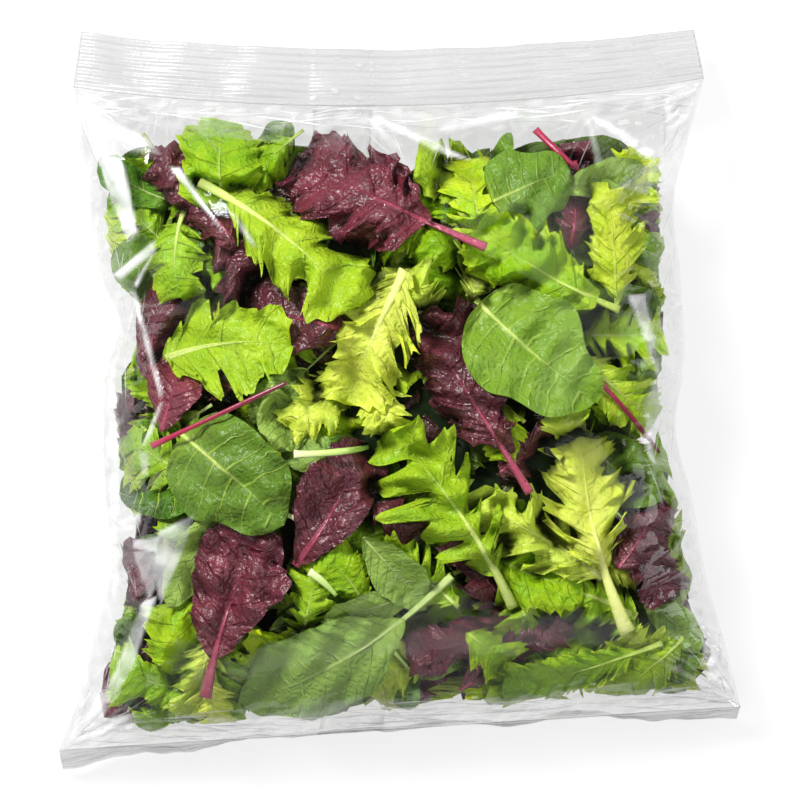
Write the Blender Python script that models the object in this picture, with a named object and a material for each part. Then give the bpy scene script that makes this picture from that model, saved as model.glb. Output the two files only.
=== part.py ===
"""A sealed clear pillow bag full of mixed salad leaves, lying on its back.

One closed solid: the leaf-filled pillow, the crimped seal fin at its top and the one at its bottom.
Metres, +Z up. +Y runs along the bag towards its top seal, and X across it. The origin is on the
surface that the bag lies on, under the middle of its bounding box.
"""

import math

import bmesh
import bpy

# The filled pillow.
HEAP_HEIGHT = 0.084  # of the filled middle above the surface
BACK_DEPTH = 0.062  # how far the back would hang below the side edges with no surface under it
REST_BLEND = 0.0040  # height over which the back turns flat where it lies on the surface
END_POWER, END_ROUNDNESS = 3.0, 0.60  # how the pillow swells away from its seals
SIDE_POWER, SIDE_ROUNDNESS = 2.5, 0.56  # and from its side edges

# The crimped seals.
FIN_THICKNESS = 0.0010
CRIMP_DEPTH = 0.00045  # of a ridge to either side of the fin's middle
TOP_RIDGES = 8
TOP_SEAL_ARCH = 0.0100  # how far the middle of the top seal stands above its ends
TOP_SEAL_DROP = 0.0090  # from the seal's inner edge to its free edge
BOTTOM_RIDGES = 6
BOTTOM_SEAL = 0.0180  # height of the bottom crimp along the film
BOTTOM_REACH_LEFT, BOTTOM_REACH_RIGHT = 0.0088, 0.0067  # of its corners, as seen from above
BOTTOM_REACH_MIDDLE = 0.0008  # the rest of the crimp hangs down nearly upright

# The back of the tube is closed by a lap seam, which also crosses both seals as a doubled strip.
SEAM_EDGES = (-0.24, -0.05)  # as shares across, from -1 at the left side to 1 at the right
SEAM_STEP = 0.006  # share across that its edge takes
SEAM_EXTRA = 0.0004

# Where the pillow's side edges run: (share of the way up, X, Y). The film is pulled in at its waist.
LEFT_SIDE = (
    (0.00, -0.1441, -0.1478),
    (0.08, -0.1352, -0.1247),
    (0.18, -0.1285, -0.0979),
    (0.26, -0.1222, -0.0750),
    (0.40, -0.1240, -0.0360),
    (0.57, -0.1238, 0.0110),
    (0.66, -0.1178, 0.0345),
    (0.71, -0.1240, 0.0470),
    (0.84, -0.1310, 0.0850),
    (0.92, -0.1355, 0.1080),
    (1.00, -0.1378, 0.1315),
)
RIGHT_SIDE = (
    (0.00, 0.1432, -0.1294),
    (0.08, 0.1380, -0.1085),
    (0.20, 0.1285, -0.0752),
    (0.33, 0.1222, -0.0420),
    (0.44, 0.1150, -0.0122),
    (0.55, 0.1186, 0.0170),
    (0.67, 0.1172, 0.0490),
    (0.82, 0.1147, 0.0880),
    (0.90, 0.1200, 0.1080),
    (1.00, 0.1273, 0.1352),
)
TOP_BOW = 0.0105  # how far the middle of the top seal's inner edge is pulled in from its corners
TOP_FREE_BOW = 0.0088  # and its free edge
LEFT_TOP_CORNER = (-0.1352, 0.1554)
RIGHT_TOP_CORNER = (0.1239, 0.1567)

# Height of the line where the front and the back of the film meet.
SIDE_HEIGHT = (
    (0.00, 0.0185),
    (0.15, 0.0230),
    (0.50, 0.0310),
    (0.85, 0.0290),
    (1.00, 0.0230),
)

# Lumps that the leaves push into the film: (share across, share along, radius, height).
LUMPS = (
    (-0.45, 0.78, 0.050, 0.0045),
    (0.10, 0.80, 0.046, 0.0040),
    (0.62, 0.70, 0.040, 0.0035),
    (0.36, 0.52, 0.055, 0.0040),
    (-0.55, 0.40, 0.048, 0.0040),
    (-0.05, 0.36, 0.050, 0.0035),
    (0.55, 0.22, 0.046, 0.0040),
    (-0.35, 0.14, 0.042, 0.0035),
)

# Big folds of the film: (across and along at one end, at the other, half width, height; below 0 dents).
FOLDS = (
    ((-1.00, 0.99), (-0.45, 0.78), 0.016, 0.0055),
    ((-1.00, 0.66), (-0.66, 0.64), 0.014, -0.0060),
    ((-0.90, 0.58), (-0.66, 0.30), 0.014, 0.0040),
    ((1.00, 0.99), (0.56, 0.80), 0.016, 0.0055),
    ((0.84, 0.72), (0.90, 0.42), 0.014, 0.0040),
    ((1.00, 0.44), (0.70, 0.44), 0.014, -0.0055),
    ((-1.00, 0.01), (-0.62, 0.30), 0.016, 0.0055),
    ((1.00, 0.01), (0.66, 0.20), 0.016, 0.0050),
)

PANELS = 28  # across each face
BODY_ROWS = 26


def cubic_through(stations, share, place):
    """The value at `share` of a smooth curve through stations of (share, value, ...)."""
    last = len(stations) - 1
    i = next((k for k in range(last) if share <= stations[k + 1][0]), last - 1)
    before = stations[max(i - 1, 0)]
    start, end = stations[i], stations[i + 1]
    after = stations[min(i + 2, last)]
    span = end[0] - start[0]
    local = (share - start[0]) / span
    slope_in = (end[place] - before[place]) / (end[0] - before[0]) * span
    slope_out = (after[place] - start[place]) / (after[0] - start[0]) * span
    square, cube = local**2, local**3
    return (
        (2 * cube - 3 * square + 1) * start[place]
        + (cube - 2 * square + local) * slope_in
        + (3 * square - 2 * cube) * end[place]
        + (cube - square) * slope_out
    )


def mix(first, second, share):
    return first + (second - first) * share


def smooth_step(low, high, value):
    share = min(1.0, max(0.0, (value - low) / (high - low)))
    return share**2 * (3 - 2 * share)


def rested(height):
    """A height of the back, turned exactly flat at zero where it would hang through the surface."""
    if height >= REST_BLEND:
        return height
    if height <= -REST_BLEND:
        return 0.0
    return (height + REST_BLEND) ** 2 / (4 * REST_BLEND)


def plan_point(across, along):
    """X and Y on the pillow, from -1 to 1 across and 0 to 1 along."""
    share = (across + 1) / 2
    x = mix(cubic_through(LEFT_SIDE, along, 1), cubic_through(RIGHT_SIDE, along, 1), share)
    y = mix(cubic_through(LEFT_SIDE, along, 2), cubic_through(RIGHT_SIDE, along, 2), share)
    return x, y - TOP_BOW * along**3 * (1 - across**2)


def side_height(across, along):
    return cubic_through(SIDE_HEIGHT, along, 1) + TOP_SEAL_ARCH * (1 - across**2) * along**4


def fullness(across, along):
    """From 0 at the seals and the side edges to 1 in the middle."""
    ends = max(0.0, 1 - abs(2 * along - 1) ** END_POWER) ** END_ROUNDNESS
    sides = max(0.0, 1 - abs(across) ** SIDE_POWER) ** SIDE_ROUNDNESS
    return ends * sides


def fold_height(x, y):
    """What the folds add at a point: each is a soft ridge or dent that fades out at both of its ends."""
    total = 0.0
    for start, end, half_width, height in FOLDS:
        (x1, y1), (x2, y2) = plan_point(*start), plan_point(*end)
        run_x, run_y = x2 - x1, y2 - y1
        length = math.hypot(run_x, run_y)
        share = ((x - x1) * run_x + (y - y1) * run_y) / length**2
        aside = abs((x - x1) * run_y - (y - y1) * run_x) / length
        if 0 < share < 1:
            total += height * math.sin(math.pi * share) * math.exp(-((aside / half_width) ** 2))
    return total


def lump_height(x, y):
    total = 0.0
    for across, along, radius, height in LUMPS:
        lump_x, lump_y = plan_point(across, along)
        away = math.hypot(x - lump_x, y - lump_y) / radius
        total += height * math.exp(-2 * away**2)
    return total


def in_seam(across):
    return SEAM_EDGES[0] <= across <= SEAM_EDGES[1]


def column_places():
    """Shares across from -1 to 1, closer together at the rounded sides, with the lap seam's edges."""
    low, high = SEAM_EDGES
    seam = [low - SEAM_STEP, low, high, high + SEAM_STEP]
    clear = 4 * SEAM_STEP
    even = [math.sin(math.pi / 2 * (2 * i / PANELS - 1)) for i in range(PANELS + 1)]
    return sorted(seam + [place for place in even if min(abs(place - edge) for edge in seam) > clear])


def pillow_ring(along):
    """One closed cross-section of the pillow: the front from left to right, then the back."""
    front, back = [], []
    crown = HEAP_HEIGHT - side_height(0, 0.5) - LUMPS[3][3]
    for across in column_places():
        x, y = plan_point(across, along)
        edge = side_height(across, along)
        full = fullness(across, along)
        relief = (fold_height(x, y) + lump_height(x, y)) * min(1.0, full * 3)
        under = edge - FIN_THICKNESS / 2 - BACK_DEPTH * full - relief * 0.4
        if in_seam(across):
            under -= SEAM_EXTRA
        front.append((x, y, edge + FIN_THICKNESS / 2 + crown * full + relief))
        back.append((x, y, rested(under)))
    return front + back[::-1]


def top_inner(across):
    return (*plan_point(across, 1.0), side_height(across, 1.0))


def top_free(across):
    share = (across + 1) / 2
    x = mix(LEFT_TOP_CORNER[0], RIGHT_TOP_CORNER[0], share)
    y = mix(LEFT_TOP_CORNER[1], RIGHT_TOP_CORNER[1], share) - TOP_FREE_BOW * (1 - across**2)
    return x, y, side_height(across, 1.0) - TOP_SEAL_DROP


def bottom_inner(across):
    return (*plan_point(across, 0.0), side_height(across, 0.0))


def bottom_free(across):
    """The crimp is turned down, and spreads outwards only towards its corners."""
    x, y, z = bottom_inner(across)
    reach = BOTTOM_REACH_MIDDLE
    reach += (BOTTOM_REACH_LEFT - reach) * smooth_step(0.25, 1.0, -across)
    reach += (BOTTOM_REACH_RIGHT - reach) * smooth_step(0.50, 1.0, across)
    return x, y - reach, z - math.sqrt(BOTTOM_SEAL**2 - reach**2)


def fin_ring(inner, free, share, ridge):
    """One closed cross-section of a seal, at a share of the way from its inner to its free edge."""
    front, back = [], []
    for across in column_places():
        (x1, y1, z1), (x2, y2, z2) = inner(across), free(across)
        length = math.hypot(y2 - y1, z2 - z1)
        facing = math.copysign(1, y2 - y1)
        normal_y, normal_z = -facing * (z2 - z1) / length, facing * (y2 - y1) / length
        half = FIN_THICKNESS / 2 + (SEAM_EXTRA if in_seam(across) else 0.0)
        x, y, z = mix(x1, x2, share), mix(y1, y2, share), mix(z1, z2, share)
        front.append((x, y + normal_y * (ridge + half), z + normal_z * (ridge + half)))
        back.append((x, y + normal_y * (ridge - half), z + normal_z * (ridge - half)))
    return front + back[::-1]


def fin_rings(inner, free, ridges):
    """Rings from the seal's inner edge to its free edge, one on each crest and in each valley."""
    steps = 2 * ridges
    rings = []
    for step in range(1, steps + 1):
        ridge = 0.0 if step == steps else CRIMP_DEPTH * (1 if step % 2 else -1)
        rings.append(fin_ring(inner, free, step / steps, ridge))
    return rings


def bag_rings():
    """All cross-sections from the free edge of the bottom seal to that of the top seal."""
    below = fin_rings(bottom_inner, bottom_free, BOTTOM_RIDGES)[::-1]
    body = [pillow_ring(0.5 - 0.5 * math.cos(math.pi * row / BODY_ROWS)) for row in range(BODY_ROWS + 1)]
    above = fin_rings(top_inner, top_free, TOP_RIDGES)
    return below + body + above


def centred(rings):
    """The rings moved so that the middle of their bounding box is over the origin."""
    points = [point for ring in rings for point in ring]
    shift_x, shift_y = (-(min(p[k] for p in points) + max(p[k] for p in points)) / 2 for k in (0, 1))
    return [[(x + shift_x, y + shift_y, z) for x, y, z in ring] for ring in rings]


def loft(name, rings):
    """A closed solid through the rings, capped at both ends."""
    bm = bmesh.new()
    loops = [[bm.verts.new(point) for point in ring] for ring in rings]
    count = len(rings[0])
    for near, far in zip(loops, loops[1:]):
        for i in range(count):
            j = (i + 1) % count
            bm.faces.new((near[i], near[j], far[j], far[i]))
    for end in (loops[0], loops[-1]):
        for i in range(count // 2 - 1):
            bm.faces.new((end[i], end[i + 1], end[-2 - i], end[-1 - i]))
    bmesh.ops.recalc_face_normals(bm, faces=bm.faces)
    mesh = bpy.data.meshes.new(name)
    bm.to_mesh(mesh)
    bm.free()
    mesh.shade_smooth()
    mesh.set_sharp_from_angle(angle=math.radians(40))
    bag = bpy.data.objects.new(name, mesh)
    bpy.context.scene.collection.objects.link(bag)
    return bag


def film_over_leaves():
    """Glossy clear film, which takes its colour from the leaves behind it."""
    material = bpy.data.materials.new("film over leaves")
    material.use_nodes = True
    shader = material.node_tree.nodes["Principled BSDF"]
    shader.inputs["Base Color"].default_value = (0.20, 0.36, 0.06, 1.0)
    shader.inputs["Roughness"].default_value = 0.12
    shader.inputs["Metallic"].default_value = 0.0
    return material


for leftover in list(bpy.data.objects):
    bpy.data.objects.remove(leftover)

salad_bag = loft("salad_bag", centred(bag_rings()))
salad_bag.data.materials.append(film_over_leaves())
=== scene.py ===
import math

import bpy
import numpy as np
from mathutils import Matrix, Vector
from mathutils.bvhtree import BVHTree


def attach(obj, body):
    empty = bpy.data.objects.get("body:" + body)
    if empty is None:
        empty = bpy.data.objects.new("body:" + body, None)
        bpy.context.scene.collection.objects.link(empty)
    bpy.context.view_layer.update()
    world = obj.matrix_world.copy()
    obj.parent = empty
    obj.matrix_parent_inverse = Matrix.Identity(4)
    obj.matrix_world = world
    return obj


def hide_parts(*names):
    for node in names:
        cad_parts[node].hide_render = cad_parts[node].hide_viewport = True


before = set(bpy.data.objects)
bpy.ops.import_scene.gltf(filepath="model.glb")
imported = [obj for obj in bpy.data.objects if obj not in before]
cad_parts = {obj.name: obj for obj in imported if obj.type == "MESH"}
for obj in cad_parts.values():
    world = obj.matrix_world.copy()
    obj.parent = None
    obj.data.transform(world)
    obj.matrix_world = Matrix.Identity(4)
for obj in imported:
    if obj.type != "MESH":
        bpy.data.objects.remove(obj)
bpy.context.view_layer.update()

# ---- The studio ----
# A white table, a soft key at the upper left, a softer light opposite it, fills on both sides and a
# card at the foot. The camera looks straight down, because the bag lies on its back.

CAMERA_HEIGHT = 1.50
VIEW_WIDTH = 0.336  # that the camera sees at the height of the bag's side edges
EDGE_HEIGHT = 0.025
MM = 0.001

camera_data = bpy.data.cameras.new("camera")
camera = bpy.data.objects.new("camera", camera_data)
bpy.context.scene.collection.objects.link(camera)
camera.location = (0.0, 0.0, CAMERA_HEIGHT)
camera_data.lens = camera_data.sensor_width * (CAMERA_HEIGHT - EDGE_HEIGHT) / VIEW_WIDTH
bpy.context.scene.camera = camera
bpy.context.scene.view_settings.view_transform = "Standard"


def soft_light(name, location, size, power, target=(0.0, 0.0, 0.03)):
    light = bpy.data.lights.new(name, "AREA")
    light.shape = "RECTANGLE"
    light.size, light.size_y = size
    light.energy = power
    lamp = bpy.data.objects.new(name, light)
    bpy.context.scene.collection.objects.link(lamp)
    lamp.location = location
    lamp.rotation_euler = (Vector(target) - Vector(location)).to_track_quat("-Z", "Y").to_euler()


soft_light("key", (-0.95, 1.05, 1.45), (0.50, 0.50), 75.0)
soft_light("fill_head", (0.80, 0.75, 1.25), (0.90, 0.90), 10.5)
soft_light("fill_right", (1.05, 0.05, 0.80), (0.50, 1.00), 5.0)
soft_light("strip_left", (-0.95, -0.10, 0.55), (0.30, 1.10), 1.6)
soft_light("foot_card", (0.10, -1.05, 0.75), (1.20, 0.40), 5.0)

world = bpy.data.worlds.new("studio")
bpy.context.scene.world = world
world.use_nodes = True
world.node_tree.nodes["Background"].inputs["Color"].default_value = (0.95, 0.97, 1.0, 1.0)
world.node_tree.nodes["Background"].inputs["Strength"].default_value = 0.16


def add_node(tree, kind, inputs=None, **settings):
    """A node of that kind. Inputs are given by name or number, as a value or as the socket that feeds it."""
    node = tree.nodes.new("ShaderNode" + kind)
    for key, value in settings.items():
        setattr(node, key, value)
    for key, value in (inputs or {}).items():
        if isinstance(value, bpy.types.NodeSocket):
            tree.links.new(value, node.inputs[key])
        else:
            node.inputs[key].default_value = value
    return node


def new_material(name):
    """A material and its node tree, empty but for the output."""
    material = bpy.data.materials.new(name)
    material.use_nodes = True
    tree = material.node_tree
    for node in list(tree.nodes):
        tree.nodes.remove(node)
    return material, tree, tree.nodes.new("ShaderNodeOutputMaterial")


def colour(code):
    """Linear red, green, blue and alpha of a colour written as six hex digits."""
    shares = [int(code[i:i + 2], 16) / 255 for i in (0, 2, 4)]
    return tuple(s / 12.92 if s <= 0.04045 else ((s + 0.055) / 1.055) ** 2.4 for s in shares) + (1.0,)


TABLE_HALF = 4.0
table_mesh = bpy.data.meshes.new("table")
table_corners = [(x * TABLE_HALF, y * TABLE_HALF, -0.0005) for x, y in ((-1, -1), (1, -1), (1, 1), (-1, 1))]
table_mesh.from_pydata(table_corners, [], [(0, 1, 2, 3)])
table = bpy.data.objects.new("table", table_mesh)
bpy.context.scene.collection.objects.link(table)
table_material, tree, output = new_material("white table")
shader = add_node(tree, "BsdfPrincipled", {
    "Base Color": (0.12, 0.12, 0.12, 1.0), "Roughness": 0.6,
    "Emission Color": (1.0, 1.0, 1.0, 1.0), "Emission Strength": 0.79,
})
tree.links.new(shader.outputs["BSDF"], output.inputs["Surface"])
table_mesh.materials.append(table_material)

# ---- The pillow of clear film ----
# One tube of thin clear film, closed by crimps at both ends. The leaves fill it out, so it is taut in
# the middle and creased where it runs flat into its corners, its pulled-in sides and its crimps.

# Where the pillow's side edges run, as its solid in the frame has them: (share of the way up, X, Y).
LEFT_SIDE = np.array((
    (0.00, -0.1441, -0.1478), (0.08, -0.1352, -0.1247), (0.18, -0.1285, -0.0979), (0.26, -0.1222, -0.0750),
    (0.40, -0.1240, -0.0360), (0.57, -0.1238, 0.0110), (0.66, -0.1178, 0.0345), (0.71, -0.1240, 0.0470),
    (0.84, -0.1310, 0.0850), (0.92, -0.1355, 0.1080), (1.00, -0.1378, 0.1315),
))
RIGHT_SIDE = np.array((
    (0.00, 0.1432, -0.1294), (0.08, 0.1380, -0.1085), (0.20, 0.1285, -0.0752), (0.33, 0.1222, -0.0420),
    (0.44, 0.1150, -0.0122), (0.55, 0.1186, 0.0170), (0.67, 0.1172, 0.0490), (0.82, 0.1147, 0.0880),
    (0.90, 0.1200, 0.1080), (1.00, 0.1273, 0.1352),
))
TOP_BOW = 0.0105
FRAME_SHIFT = (0.00045, 0.00005)  # of the solid's bounding box onto the origin
FILM_COLUMNS, FILM_ROWS = 260, 280  # of the front; the back has half as many


def edge_line(stations, along):
    """X and Y of a side edge at shares along, on a smooth curve through its stations."""
    place = stations[:, 0]
    result = []
    for values in (stations[:, 1], stations[:, 2]):
        slopes = np.gradient(values, place)
        i = np.clip(np.searchsorted(place, along) - 1, 0, len(place) - 2)
        span = place[i + 1] - place[i]
        t = (along - place[i]) / span
        result.append(
            (2 * t**3 - 3 * t**2 + 1) * values[i] + (t**3 - 2 * t**2 + t) * slopes[i] * span
            + (3 * t**2 - 2 * t**3) * values[i + 1] + (t**3 - t**2) * slopes[i + 1] * span
        )
    return result


def plan_point(across, along):
    """X and Y on the pillow, from -1 to 1 across and 0 to 1 along."""
    share = (across + 1) / 2
    (x1, y1), (x2, y2) = edge_line(LEFT_SIDE, along), edge_line(RIGHT_SIDE, along)
    x = x1 + (x2 - x1) * share + FRAME_SHIFT[0]
    y = y1 + (y2 - y1) * share + FRAME_SHIFT[1]
    return x, y - TOP_BOW * along**3 * (1 - across**2)


def bag_share(x, y):
    """The shares across and along of points given by X and Y."""
    across, along = x / 0.125, (y + 0.14) / 0.27
    for _ in range(6):
        u, v = np.clip(across, -1, 1), np.clip(along, 0, 1)
        px, py = plan_point(u, v)
        across = u + (x - px) / 0.125
        along = v + (y - py) / 0.27
    return across, along


def bumpy(x, y, wavelength, seed, waves=7):
    """Smooth noise of about -1 to 1: a sum of sine waves in random directions."""
    rng = np.random.default_rng(seed)
    total = 0
    for _ in range(waves):
        angle, phase = rng.uniform(0, 2 * math.pi, 2)
        size = 2 * math.pi / (wavelength * rng.uniform(0.65, 1.5))
        total = total + np.sin(size * (x * math.cos(angle) + y * math.sin(angle)) + phase)
    return total / math.sqrt(waves)


def step(low, high, value):
    """A smooth step from 0 at low to 1 at high."""
    share = np.clip((value - low) / (high - low), 0, 1)
    return share**2 * (3 - 2 * share)


def sampled(grid, across, along):
    """A value of a film grid at shares across and along."""
    rows, columns = grid.shape
    c = np.clip((np.clip(across, -1, 1) + 1) / 2 * (columns - 1), 0, columns - 1.001)
    r = np.clip(np.clip(along, 0, 1) * (rows - 1), 0, rows - 1.001)
    ci, ri = c.astype(int), r.astype(int)
    cf, rf = c - ci, r - ri
    low = grid[ri, ci] * (1 - cf) + grid[ri, ci + 1] * cf
    high = grid[ri + 1, ci] * (1 - cf) + grid[ri + 1, ci + 1] * cf
    return low * (1 - rf) + high * rf


def softened(grid, passes):
    """The grid with its facets smoothed out and its border kept."""
    grid = grid.copy()
    for _ in range(passes):
        grid[1:-1, 1:-1] = (
            grid[1:-1, 1:-1] * 2 + grid[:-2, 1:-1] + grid[2:, 1:-1] + grid[1:-1, :-2] + grid[1:-1, 2:]
        ) / 6
    return grid


grid_along, grid_across = np.meshgrid(
    np.linspace(0, 1, FILM_ROWS + 1), np.linspace(-1, 1, FILM_COLUMNS + 1), indexing="ij"
)
film_x, film_y = plan_point(grid_across, grid_along)
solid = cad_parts["salad_bag"]
solid_tree = BVHTree.FromPolygons(
    [v.co.copy() for v in solid.data.vertices], [tuple(p.vertices) for p in solid.data.polygons]
)


def solid_height(x, y, from_above):
    start, way = (0.3, -1) if from_above else (-0.3, 1)
    hit = solid_tree.ray_cast(Vector((x, y, start)), Vector((0, 0, way)))[0]
    return hit.z if hit else EDGE_HEIGHT


probe_x, probe_y = plan_point(grid_across * 0.997, 0.003 + grid_along * 0.994)
probes = list(zip(probe_x.flat, probe_y.flat))
front = np.array([solid_height(x, y, True) for x, y in probes]).reshape(film_x.shape)
back = np.array([solid_height(x, y, False) for x, y in probes]).reshape(film_x.shape)
front, back = softened(front, 60), softened(back, 60)

# Flat facets where the film folds sharply, painted white as highlights: corners in plan (mm) and how white each one is
# painted.
PAINTED_HIGHLIGHT_FACETS = (
    (((-127, 103), (-115, 100), (-108, 69), (-112, 65)), 0.75),
    (((-130, 119), (-121, 116), (-114, 99), (-127, 102)), 0.40),
    (((-135, 124), (-103, 107), (-98, 101), (-116, 103)), 0.35),
    (((-94, 95), (-90, 95), (-72, 69), (-73, 70)), 0.8),
    (((-69, 76), (-66, 75), (-58, 62), (-61, 64)), 0.45),
    (((-118, 52), (-101, 65), (-100, 61), (-115, 50)), 0.75),
    (((-111, 48), (-108, 47), (-100, 62), (-102, 59)), 0.8),
    (((-111, 45), (-109, 45), (-97, 2), (-98, 1)), 0.8),
    (((-98, -1), (-97, -1), (-104, -19), (-106, -19)), 0.5),
    (((-107, -21), (-103, -21), (-103, -31), (-105, -31)), 0.45),
    (((-121, 0), (-118, 17), (-116, -12), (-118, -83), (-121, -72)), 0.5),
    (((-117, -51), (-107, -46), (-107, -50), (-110, -57)), 0.8),
    (((-110, -58), (-98, -56), (-99, -63), (-110, -61)), 0.7),
    (((-110, -63), (-103, -61), (-96, -67), (-103, -82)), 0.45),
    (((-99, -54), (-84, -47), (-88, -60), (-98, -83), (-101, -72)), 0.5),
    (((-105, -83), (-100, -81), (-111, -111), (-121, -126), (-119, -114)), 0.6),
    (((-119, -114), (-114, -111), (-122, -129), (-126, -138), (-124, -124)), 0.5),
    (((-140, -145), (-125, -121), (-120, -124), (-132, -140)), 0.5),
    (((-140, -146), (-120, -132), (-107, -131), (-119, -138)), 0.6),
    (((-11, 116), (-9, 117), (28, 98), (17, 100)), 0.6),
    (((-13, 116), (-12, 116), (1, 103), (-4, 103)), 0.35),
    (((16, 111), (50, 121), (46, 116), (21, 110)), 0.4),
    (((78, 116), (80, 117), (107, 101), (104, 98)), 0.6),
    (((77, 116), (78, 116), (83, 97), (80, 97)), 0.3),
    (((109, 124), (124, 131), (120, 111), (111, 99)), 0.5),
    (((90, 87), (102, 98), (108, 99), (102, 85)), 0.35),
    (((93, 43), (100, 43), (106, 11), (105, 10)), 0.55),
    (((105, 9), (107, 9), (107, -2), (104, -31), (100, -2)), 0.5),
    (((110, 57), (114, 57), (117, 17), (114, 12)), 0.4),
    (((107, 17), (114, 10), (112, -10), (109, -8)), 0.45),
    (((114, -29), (120, -41), (126, -72), (121, -72)), 0.25),
    (((124, -99), (135, -109), (141, -126), (129, -120)), 0.45),
)
# Folds run down the film from these places where the top crimp pinches it, in mm.
TOP_PINCHES = ((-98, 125), (-11, 117), (16, 112), (78, 117))


def inside_facet(x, y, corners, blur=1.0):
    """From 0 outside a facet to 1 inside it. Distances in mm."""
    area = sum(a[0] * b[1] - b[0] * a[1] for a, b in zip(corners, corners[1:] + corners[:1]))
    share = np.ones_like(x)
    for (x1, y1), (x2, y2) in zip(corners, corners[1:] + corners[:1]):
        length = math.hypot(x2 - x1, y2 - y1)
        inward = ((x2 - x1) * (y - y1) - (y2 - y1) * (x - x1)) / length * math.copysign(1, area)
        share = np.minimum(share, np.clip(inward / blur + 0.5, 0, 1))
    return share


def fold_line(x, y, start, end, half_width, height):
    """A sharp-topped fold from start to end that fades out at both of them. All in mm."""
    run_x, run_y = end[0] - start[0], end[1] - start[1]
    length = math.hypot(run_x, run_y)
    share = ((x - start[0]) * run_x + (y - start[1]) * run_y) / length**2
    aside = np.abs((x - start[0]) * run_y - (y - start[1]) * run_x) / length
    fade = np.sin(math.pi * np.clip(share, 0, 1)) ** 0.7
    return height * fade * np.clip(1 - aside / (half_width * (0.35 + 0.65 * share)), 0, 1) ** 1.3


def film_folds():
    """How far the front of the film stands out of its smooth shape, in mm."""
    rng = np.random.default_rng(11)
    x, y = film_x / MM, film_y / MM
    total = np.zeros_like(x)

    def fan(place, heading, spread, count, lengths, width, height):
        for i in range(count):
            angle = math.radians(heading + spread * (rng.uniform(-1, 1)))
            length = rng.uniform(*lengths)
            start = (place[0] + rng.uniform(-4, 4), place[1] + rng.uniform(-2, 2))
            end = (start[0] + length * math.cos(angle), start[1] + length * math.sin(angle))
            lift = height * rng.uniform(0.5, 1.2) * (1 if rng.uniform() < 0.6 else -0.7)
            total[...] += fold_line(x, y, start, end, width * rng.uniform(0.6, 1.5), lift)

    for place, heading in (((-136, 128), -42), ((126, 131), -140), ((-143, -146), 48), ((142, -128), 130)):
        fan(place, heading, 34, 16, (24, 62), 3.4, 1.7)
    for place in TOP_PINCHES:
        fan(place, -90, 42, 9, (14, 46), 2.6, 1.2)
    for stations, heading in ((LEFT_SIDE, 0), (RIGHT_SIDE, 180)):
        for along in np.linspace(0.10, 0.92, 19):
            side_x, side_y = (float(v[0]) for v in edge_line(stations, np.array([along])))
            fan((side_x / MM, side_y / MM), heading, 50, 3, (10, 30), 2.4, 1.0)
    for i in range(46):
        across = rng.uniform(-0.95, 0.95)
        for along, heading, height in ((1.0, -90, 0.8), (0.0, 90, 0.9)):
            px, py = (float(v) / MM for v in plan_point(np.array(across), np.array(along)))
            fan((px, py), heading, 24, 1, (7, 20), 1.7, height)
    for i in range(14):
        across = rng.uniform(-0.9, 0.8)
        px, py = (float(v) / MM for v in plan_point(np.array(across), np.array(rng.uniform(0.93, 0.985))))
        fan((px, py), rng.uniform(-9, 12), 6, 1, (25, 60), 2.0, 0.9)
    for i in range(34):
        across, along = rng.uniform(-0.95, 0.85), rng.uniform(0.008, 0.055)
        px, py = (float(v) / MM for v in plan_point(np.array(across), np.array(along)))
        fan((px, py), rng.uniform(-8, 12), 8, 1, (16, 46), 1.5, 0.8)
    for corners, whiteness in PAINTED_HIGHLIGHT_FACETS:
        total += inside_facet(x, y, corners, 2.5) * (0.4 + 0.7 * whiteness)
    rim = np.maximum(step(0.70, 0.97, np.abs(grid_across)), step(0.84, 0.97, np.abs(2 * grid_along - 1)))
    ridged = 1 - np.abs(bumpy(x, y, 17, 5)) - 0.5
    taut = 0.10 + 0.55 * rim
    total += ridged * taut + bumpy(x, y, 60, 6) * 0.5
    return total


def film_haze_and_painted_light():
    """How white the film is painted: highlights painted on its facets, its gathers, and a faint painted reflection
    towards its foot.
    """
    x, y = film_x / MM, film_y / MM
    white = np.zeros_like(x)
    patchy = 0.75 + 0.35 * bumpy(x, y, 14, 21)
    # Painted highlights on the facets, patchy.
    for corners, whiteness in PAINTED_HIGHLIGHT_FACETS:
        white = np.maximum(white, inside_facet(x, y, corners) * whiteness * np.clip(patchy, 0.25, 1))
    # A faint painted reflection of the foot card, below a curved line near the foot.
    foot_line = -85 - 0.15 * np.maximum(50 - x, 0)
    painted_foot_reflection = 0.02 * step(0, -9, y - foot_line)
    gathers = step(0.925, 0.985, grid_along) * (0.05 + 0.20 * np.clip(bumpy(x * 0.35, y, 4.5, 8), 0, 1))
    low = step(0.06, 0.01, grid_along) * (0.07 + 0.24 * np.clip(bumpy(x * 0.3, y, 3.2, 9), 0, 1))
    sides = step(0.90, 1.0, np.abs(grid_across)) * (0.05 + 0.24 * np.clip(bumpy(x, y * 0.4, 5, 10), 0, 1))
    return np.clip(white + np.maximum(painted_foot_reflection, np.maximum(np.maximum(gathers, low), sides)), 0, 1)


def grid_normals(points):
    """Unit normals of a grid of points, on the side where rows turn left into columns."""
    along_way = np.gradient(points, axis=0)
    across_way = np.gradient(points, axis=1)
    normals = np.cross(across_way, along_way)
    return normals / np.maximum(np.linalg.norm(normals, axis=2, keepdims=True), 1e-12)


def grid_quads(rows, columns, start=0):
    """Corner numbers of the quads of a grid with that many rows and columns of points."""
    r, c = np.meshgrid(np.arange(rows - 1), np.arange(columns - 1), indexing="ij")
    first = (start + r * columns + c).ravel()
    return np.stack((first, first + 1, first + columns + 1, first + columns), axis=1)


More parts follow.
